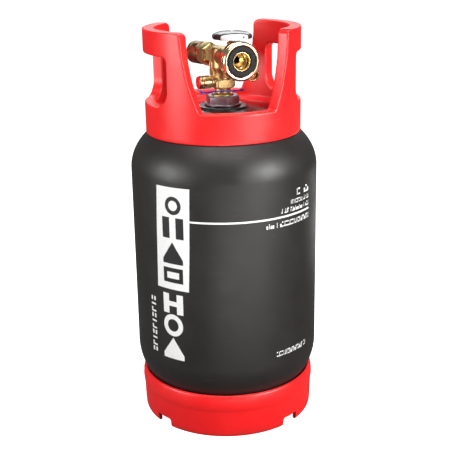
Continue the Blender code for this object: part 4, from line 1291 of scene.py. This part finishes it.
def make_handwheel(black, white, steel, brass, shadow):
    """The fluted wheel with its dished top, white rim band, a thin dark line of painted shadow above the
    band, screw, spindle and bonnet nut.
    """
    facing = Matrix.Rotation(math.radians(VALVE_YAW), 4, "Z")
    post = Matrix.Translation(towards(VALVE_YAW) * WHEEL_OFFSET) @ facing
    top = WHEEL_LOW_Z + WHEEL_H
    bm = bmesh.new()
    crown = WHEEL_H - RIM_TOP
    levels = [
        (0.0, 0.0014, 1.0),
        (0.0004, 0.0005, 1.0),
        (0.0012, 0.0, 1.0),
        (RIM_TOP - 0.0006, 0.0, 1.0),
        (RIM_TOP - 0.0001, 0.0004, 1.0),
    ]
    for i in range(15):
        a = 0.5 * math.pi * i / 16
        shrink = 0.0010 + (WHEEL_R - 0.0010) * (1.0 - math.cos(a))
        levels.append((RIM_TOP + crown * math.sin(a), shrink, 0.8 * (1.0 - i / 14)))
    count = WHEEL_FLUTES * 16
    rows = []
    for height, inset, wave in levels:
        row = []
        for i in range(count):
            a = 2.0 * math.pi * i / count
            dip = 0.5 * WHEEL_FLUTE_DEPTH * (1.0 - math.cos(WHEEL_FLUTES * a)) * wave
            r = WHEEL_R - dip - inset
            row.append(bm.verts.new((r * math.cos(a), r * math.sin(a), WHEEL_LOW_Z + height)))
        rows.append(row)
    dish = (
        (0.0042, -0.0004),
        (0.0041, -0.0016),
        (0.0021, -0.0016),
        (0.0020, -0.0040),
        (SPINDLE_R + GAP, -0.0040),
        (SPINDLE_R + GAP, -WHEEL_H + 0.0003),
        (SPINDLE_R + 0.0006, -WHEEL_H),
    )
    for radius, drop in dish:
        row = []
        for i in range(count):
            a = 2.0 * math.pi * i / count
            row.append(bm.verts.new((radius * math.cos(a), radius * math.sin(a), top + drop)))
        rows.append(row)
    for low, high in zip(rows, rows[1:] + rows[:1]):
        for i in range(count):
            j = (i + 1) % count
            bm.faces.new((low[i], low[j], high[j], high[i]))
    wheel = finish(bm, "handwheel_fine", black, post)
    start = math.radians(-90.0 + BAND_TURN - BAND_HALF)
    seat_r = WHEEL_R - BAND_DEPTH
    cut(wheel, band_solid("band_seat", start, BAND_HALF, seat_r, WHEEL_R + 0.002, 0.0016, black, post))
    wheel.data.shade_smooth()
    wheel.data.set_sharp_from_angle(angle=math.radians(SHARP))
    install(wheel, "handwheel", "handwheel")
    install(band_label("wheel_band_fine", white, post), "handwheel", "wheel_band")
    mark = math.radians(-90.0 + BAND_TURN + 0.62 * BAND_HALF)
    low_z = WHEEL_LOW_Z + 0.0026
    high_z = low_z + 0.0022
    near_r = WHEEL_R + 0.0001
    dark = curved_plate("wheel_mark", mark, 2.6, near_r, near_r + 0.0004, low_z, high_z, black, post)
    extra(dark, "handwheel")
    # A thin dark tube just above the band's tongue: painted shadow where the crown meets the band.
    path = []
    for i in range(49):
        turn = 2.0 * i / 48 - 1.0
        a = math.radians(-90.0 + BAND_TURN + 1.02 * BAND_HALF * turn)
        rise = 0.0030 * math.sqrt(max(0.0, 1.0 - turn * turn))
        r = (WHEEL_R - 0.0010) * math.sqrt(max(0.0, 1.0 - (rise / crown) ** 2)) + 0.0001
        path.append((r * math.cos(a), r * math.sin(a), WHEEL_LOW_Z + RIM_TOP + rise))
    extra(tube("wheel_painted_shadow_line", path, 0.0004, shadow, post), "handwheel")
    screw = [
        (0.0, top - HUB_SKIN + GAP),
        (0.0017, top - HUB_SKIN + GAP),
        (0.0017, top - 0.0012),
        (0.0036, top - 0.0012),
        (0.0038, top - 0.0004),
        (0.0030, top + 0.0004),
        (0.0, top + 0.0006),
    ]
    made = turned("wheel_screw_fine", rounded(screw, 0.0003), steel, 64, post)
    for turn in (0.0, 90.0):
        cross = box("cross", (-0.0022, -0.0004, top - 0.0006), (0.0022, 0.0004, top + 0.002), steel, post)
        cross.matrix_world = post @ Matrix.Rotation(math.radians(turn + 20.0), 4, "Z")
        cut(made, cross)
    made.data.set_sharp_from_angle(angle=math.radians(SHARP))
    install(made, "handwheel", "wheel_screw")
    low = NUT_LOW_Z + 0.0004
    high = top - HUB_SKIN - GAP
    made = rod("spindle_fine", SPINDLE_R, low, high, steel, 64, post, chamfer=0.0004)
    install(made, "handwheel", "spindle")
    nut_low = NUT_LOW_Z + GAP
    flats = BONNET_FLATS / math.sqrt(3.0)
    nut = prism("bonnet_nut_fine", regular(6, flats), nut_low, nut_low + 0.0065, brass, post)
    cone = [
        (0.0, nut_low - 0.0001),
        (flats + 0.001, nut_low - 0.0001),
        (flats + 0.001, nut_low + 0.0048),
        (flats - 0.0026, nut_low + 0.0066),
        (0.0, nut_low + 0.0066),
    ]
    keep(nut, turned("cone", cone, brass, 96, post))
    cut(nut, rod("nut_bore", SPINDLE_R + GAP, nut_low - 0.01, nut_low + 0.02, brass, 48, post))
    soften(nut, 0.0002, 2)
    install(nut, "tank", "bonnet_nut")


def band_solid(name, start, half_angle, inner_r, outer_r, inset, mat, place):
    """A curved block on the wheel's rim, as tall as the rim's side less an inset above and below."""
    low_z = WHEEL_LOW_Z + inset
    high_z = WHEEL_LOW_Z + RIM_TOP - 0.0002 - inset
    middle = start + math.radians(half_angle)
    return curved_plate(name, middle, half_angle, inner_r, outer_r, low_z, high_z, mat, place)


def band_label(name, mat, place):
    """The white band: the rim's side at the front, with a tongue that runs up the crown in an arc."""
    bm = bmesh.new()
    steps = 60
    crown = WHEEL_H - RIM_TOP
    rings = []
    for i in range(steps + 1):
        turn = 2.0 * i / steps - 1.0
        a = math.radians(-90.0 + BAND_TURN + 0.997 * BAND_HALF * turn)
        rise = 0.0024 * math.sqrt(max(0.0, 1.0 - turn * turn))
        outer = [(WHEEL_R - 0.0024, 0.0005), (WHEEL_R, 0.0005)]
        outer += [(WHEEL_R + 0.0002, 0.0009), (WHEEL_R + 0.0002, RIM_TOP - 0.0006)]
        for k in range(5):
            height = rise * k / 4
            bend = math.sqrt(max(0.0, 1.0 - (height / crown) ** 2))
            outer.append(((WHEEL_R - 0.0010) * bend + 0.0004, RIM_TOP + height))
        outer.append(((WHEEL_R - 0.0010) * bend - 0.0008, RIM_TOP + rise - 0.0004))
        outer.append((WHEEL_R - 0.0024, RIM_TOP - 0.0012))
        rings.append([bm.verts.new((r * math.cos(a), r * math.sin(a), WHEEL_LOW_Z + z)) for r, z in outer])
    loft(bm, rings)
    return finish(bm, name, mat, place)


def curved_plate(name, middle, half_angle, inner_r, outer_r, low_z, high_z, mat, place):
    bm = bmesh.new()
    steps = max(4, int(half_angle * 1.5))
    rings = []
    for i in range(steps + 1):
        a = middle + math.radians(half_angle) * (2.0 * i / steps - 1.0)
        corners = []
        for radius, z in ((inner_r, low_z), (outer_r, low_z), (outer_r, high_z), (inner_r, high_z)):
            corners.append(bm.verts.new((radius * math.cos(a), radius * math.sin(a), z)))
        rings.append(corners)
    loft(bm, rings)
    return finish(bm, name, mat, place)


def make_gauge_port(brass):
    """The small ring port beside the outlet and the bleed screw in it."""
    place = port_frame(VALVE_YAW, GAUGE_Z, 0.0, GAUGE_SIDE)
    back = GAUGE_FORWARD - GAUGE_LENGTH + GAP
    ring = [
        (0.0, back),
        (GAUGE_R - 0.0012, back),
        (GAUGE_R - 0.0004, back + 0.0010),
        (GAUGE_R - 0.0004, GAUGE_FORWARD - 0.0030),
        (GAUGE_R, GAUGE_FORWARD - 0.0020),
        (GAUGE_R, GAUGE_FORWARD - 0.0006),
        (GAUGE_R - 0.0006, GAUGE_FORWARD),
        (0.0070, GAUGE_FORWARD),
        (0.0064, GAUGE_FORWARD - 0.0006),
        (0.0064, back + 0.0030),
        (0.0, back + 0.0030),
    ]
    lathe("gauge_port", "tank", ring, 0.0003, brass, 96, place)
    end = GAUGE_FORWARD - 0.0008
    screw = rod("bleed_screw_fine", 0.0036, back + 0.0030 + GAP, end, brass, 64, place, chamfer=0.0005)
    slot = box("screw_slot", (-0.0050, -0.0005, end - 0.0012), (0.0050, 0.0005, end + 0.0030), brass, place)
    cut(screw, slot)
    soften(screw, 0.00012, 2)
    install(screw, "bleed_screw", "bleed_screw")


def tube(name, points, radius, mat, place=None, closed=False, sides=16):
    """A wire along smooth points."""
    curve = bpy.data.curves.new(name, "CURVE")
    curve.dimensions = "3D"
    curve.bevel_depth = radius
    curve.bevel_resolution = sides // 4
    curve.use_fill_caps = True
    spline = curve.splines.new("POLY")
    spline.points.add(len(points) - 1)
    for spot, point in zip(spline.points, points):
        spot.co = (*point, 1.0)
    spline.use_cyclic_u = closed
    guide = bpy.data.objects.new(name + "_guide", curve)
    bpy.context.collection.objects.link(guide)
    bpy.context.view_layer.update()
    graph = bpy.context.evaluated_depsgraph_get()
    mesh = bpy.data.meshes.new_from_object(guide.evaluated_get(graph))
    bpy.data.objects.remove(guide, do_unlink=True)
    mesh.materials.clear()
    mesh.materials.append(mat)
    mesh.shade_smooth()
    thing = bpy.data.objects.new(name, mesh)
    bpy.context.collection.objects.link(thing)
    if place is not None:
        thing.matrix_world = place
    return thing


def make_tie(blue):
    """The seal tie: a thin loop round the neck, lower at the left, with its knot and tail."""
    tilt = Matrix.Translation((0.0, 0.0, TIE_Z)) @ Matrix.Rotation(math.radians(-TIE_TILT), 4, "Y")
    tilt = tilt @ Matrix.Rotation(math.radians(-TIE_PITCH), 4, "X")
    loop = []
    for i in range(160):
        a = 2.0 * math.pi * i / 160
        sag = 0.0006 * math.sin(3.0 * a + 0.6) + 0.0004 * math.sin(5.0 * a)
        loop.append((TIE_R * math.cos(a), TIE_R * math.sin(a), sag))
    tie = tube("seal_tie_fine", loop, TIE_WIRE_R, blue, tilt, closed=True)
    install(tie, "tank", "seal_tie")
    turn = Matrix.Rotation(math.radians(215.0), 4, "Z")
    place = tilt @ turn @ Matrix.Translation((TIE_R + 0.0030, 0.0, 0.0))
    knot = box("tie_lock_fine", (-0.0019, -0.0022, -0.0016), (0.0019, 0.0022, 0.0016), blue, place)
    lean = Matrix.Rotation(math.radians(62.0), 4, "Y")
    add(knot, rod("tail", 0.0007, 0.0, 0.0090, blue, 24, place @ lean))
    melt(knot, 0.00022, 4)
    install(knot, "tank", "tie_lock")


# ---------------------------------------------------------------- studio


def make_studio():
    """A white sweep for the camera, a duller floor for reflections, and soft boxes."""
    sweep = plane("studio_floor", 60.0, -0.0004, floor_material(0.93, 1.0))
    sweep.visible_glossy = False
    sweep.visible_diffuse = False
    under = plane("studio_floor_under", 12.0, -0.0030, floor_material(0.38, 0.04))
    under.visible_camera = False
    world = bpy.data.worlds.new("studio")
    bpy.context.scene.world = world
    world.use_nodes = True
    nodes = world.node_tree.nodes
    links = world.node_tree.links
    ambient = nodes["Background"]
    ambient.inputs["Color"].default_value = (1.0, 1.0, 1.0, 1.0)
    ambient.inputs["Strength"].default_value = 0.16
    seen = nodes.new("ShaderNodeBackground")
    seen.inputs["Color"].default_value = (1.0, 1.0, 1.0, 1.0)
    seen.inputs["Strength"].default_value = 1.05
    path = nodes.new("ShaderNodeLightPath")
    mixer = nodes.new("ShaderNodeMixShader")
    links.new(path.outputs["Is Camera Ray"], mixer.inputs[0])
    links.new(ambient.outputs[0], mixer.inputs[1])
    links.new(seen.outputs[0], mixer.inputs[2])
    links.new(mixer.outputs[0], nodes["World Output"].inputs[0])
    area("key_left", (-1.35, -0.60, 0.60), 0.8, 0.7, 17.0)
    area("key_right", (1.30, -0.95, 0.84), 0.8, 0.8, 32.0)
    area("top", (0.0, -0.35, 1.75), 1.2, 1.2, 18.0)
    area("back", (0.2, 1.6, 1.3), 1.6, 0.8, 10.0)
    area("card_right", (1.00, -1.15, 0.42), 0.9, 0.6, 5.0)
    area("floor_card", (0.34, -0.85, 0.004), 1.0, 0.7, 7.4)
    area("floor_card_back", (0.70, 0.75, 0.004), 0.6, 0.6, 1.4)


def plane(name, size, height, mat):
    bm = bmesh.new()
    bmesh.ops.create_grid(bm, x_segments=1, y_segments=1, size=0.5 * size)
    thing = finish(bm, name, mat, Matrix.Translation((0.0, 0.0, height)))
    return thing


def area(name, place, wide, tall, power):
    data = bpy.data.lights.new(name, "AREA")
    data.shape = "RECTANGLE"
    data.size = wide
    data.size_y = tall
    data.energy = power
    lamp = bpy.data.objects.new(name, data)
    bpy.context.collection.objects.link(lamp)
    lamp.location = place
    lamp.visible_camera = False
    aim = Vector((0.0, 0.0, 0.27)) - Vector(place)
    lamp.rotation_euler = aim.to_track_quat("-Z", "Y").to_euler()
    if place[2] < 0.05:
        lamp.rotation_euler = (math.pi, 0.0, 0.0)
    return lamp


def make_camera():
    data = bpy.data.cameras.new("camera")
    data.sensor_width = 36.0
    data.lens = CAMERA_LENS
    data.clip_end = 200.0
    camera = bpy.data.objects.new("camera", data)
    bpy.context.collection.objects.link(camera)
    pitch = Matrix.Rotation(math.radians(90.0 - CAMERA_PITCH), 4, "X")
    roll = Matrix.Rotation(math.radians(CAMERA_ROLL), 4, "Z")
    camera.matrix_world = Matrix.Translation(CAMERA_PLACE) @ pitch @ roll
    bpy.context.scene.camera = camera


def finish_plain_nodes(looks):
    """Gives the pieces that keep their first shape a fine material."""
    for node, (mat, slot) in looks.items():
        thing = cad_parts[node]
        thing.data.materials.clear()
        thing.data.materials.append(mat)


def main():
    red = red_plastic("collar_red")
    red_foot = red_plastic("foot_red", scuffed=True)
    black = black_plastic()
    wheel = gloss_black()
    band = plain_plastic("band_white", (0.72, 0.72, 0.72), (0.84, 0.84, 0.84), 0.30)
    blue = plain_plastic("tie_blue", (0.012, 0.030, 0.30), (0.020, 0.050, 0.42), 0.32)
    cap_red = plain_plastic("cap_red", (0.55, 0.010, 0.010), (0.75, 0.020, 0.018), 0.34)
    cream = plain_plastic("float_cream", (0.60, 0.56, 0.46), (0.72, 0.68, 0.58), 0.45)
    seal = rubber()
    forged = cast_metal("brass_forged", (0.42, 0.30, 0.13), (0.66, 0.49, 0.22), 0.34)
    machined = turned_metal("brass_turned", (0.62, 0.45, 0.20), (0.86, 0.66, 0.34), 0.22)
    bright = turned_metal("brass_bright", (0.80, 0.64, 0.36), (0.93, 0.80, 0.52), 0.16, 0.18)
    soot = (0.10, 0.07, 0.03)
    brown = turned_metal("brass_brown", (0.16, 0.11, 0.055), (0.30, 0.21, 0.11), 0.30, 0.30, soot)
    grime = (0.25, 0.22, 0.19)
    steel = turned_metal("steel_bright", (0.42, 0.42, 0.42), (0.62, 0.61, 0.60), 0.26, 0.20, grime)
    stain = (0.20, 0.13, 0.09)
    shell = turned_metal("shell_metal", (0.30, 0.29, 0.29), (0.48, 0.46, 0.46), 0.36, 0.25, stain)
    boss = boss_metal()
    ink_white = ink("ink_white", (0.86, 0.86, 0.85))
    # Dark ink for the prints, also used for the wheel's thin line of painted shadow.
    dark_ink_and_shadow = ink("dark_ink_and_shadow", (0.014, 0.014, 0.014))

    make_jacket(black)
    make_prints(ink_white, dark_ink_and_shadow)
    make_collar(red)
    make_foot_ring(red_foot)
    make_neck_boss(boss, seal)
    make_valve_body(forged)
    make_outlet(machined, bright, seal)
    make_check(seal, steel)
    make_rear_port(machined, brown, seal)
    make_relief(machined, seal, cap_red, steel)
    make_handwheel(wheel, band, steel, machined, dark_ink_and_shadow)
    make_gauge_port(machined)
    make_tie(blue)
    finish_plain_nodes(
        {
            "pressure_shell": (shell, "pressure_shell"),
            "valve_plug": (machined, "brass"),
            "dip_tube": (steel, "steel"),
            "float": (cream, "float_plastic"),
            "float_arm": (steel, "steel"),
            "float_bracket": (machined, "brass"),
            "float_pin": (steel, "steel"),
        }
    )
    make_studio()
    make_camera()
    bpy.context.scene.view_settings.view_transform = "Standard"


main()
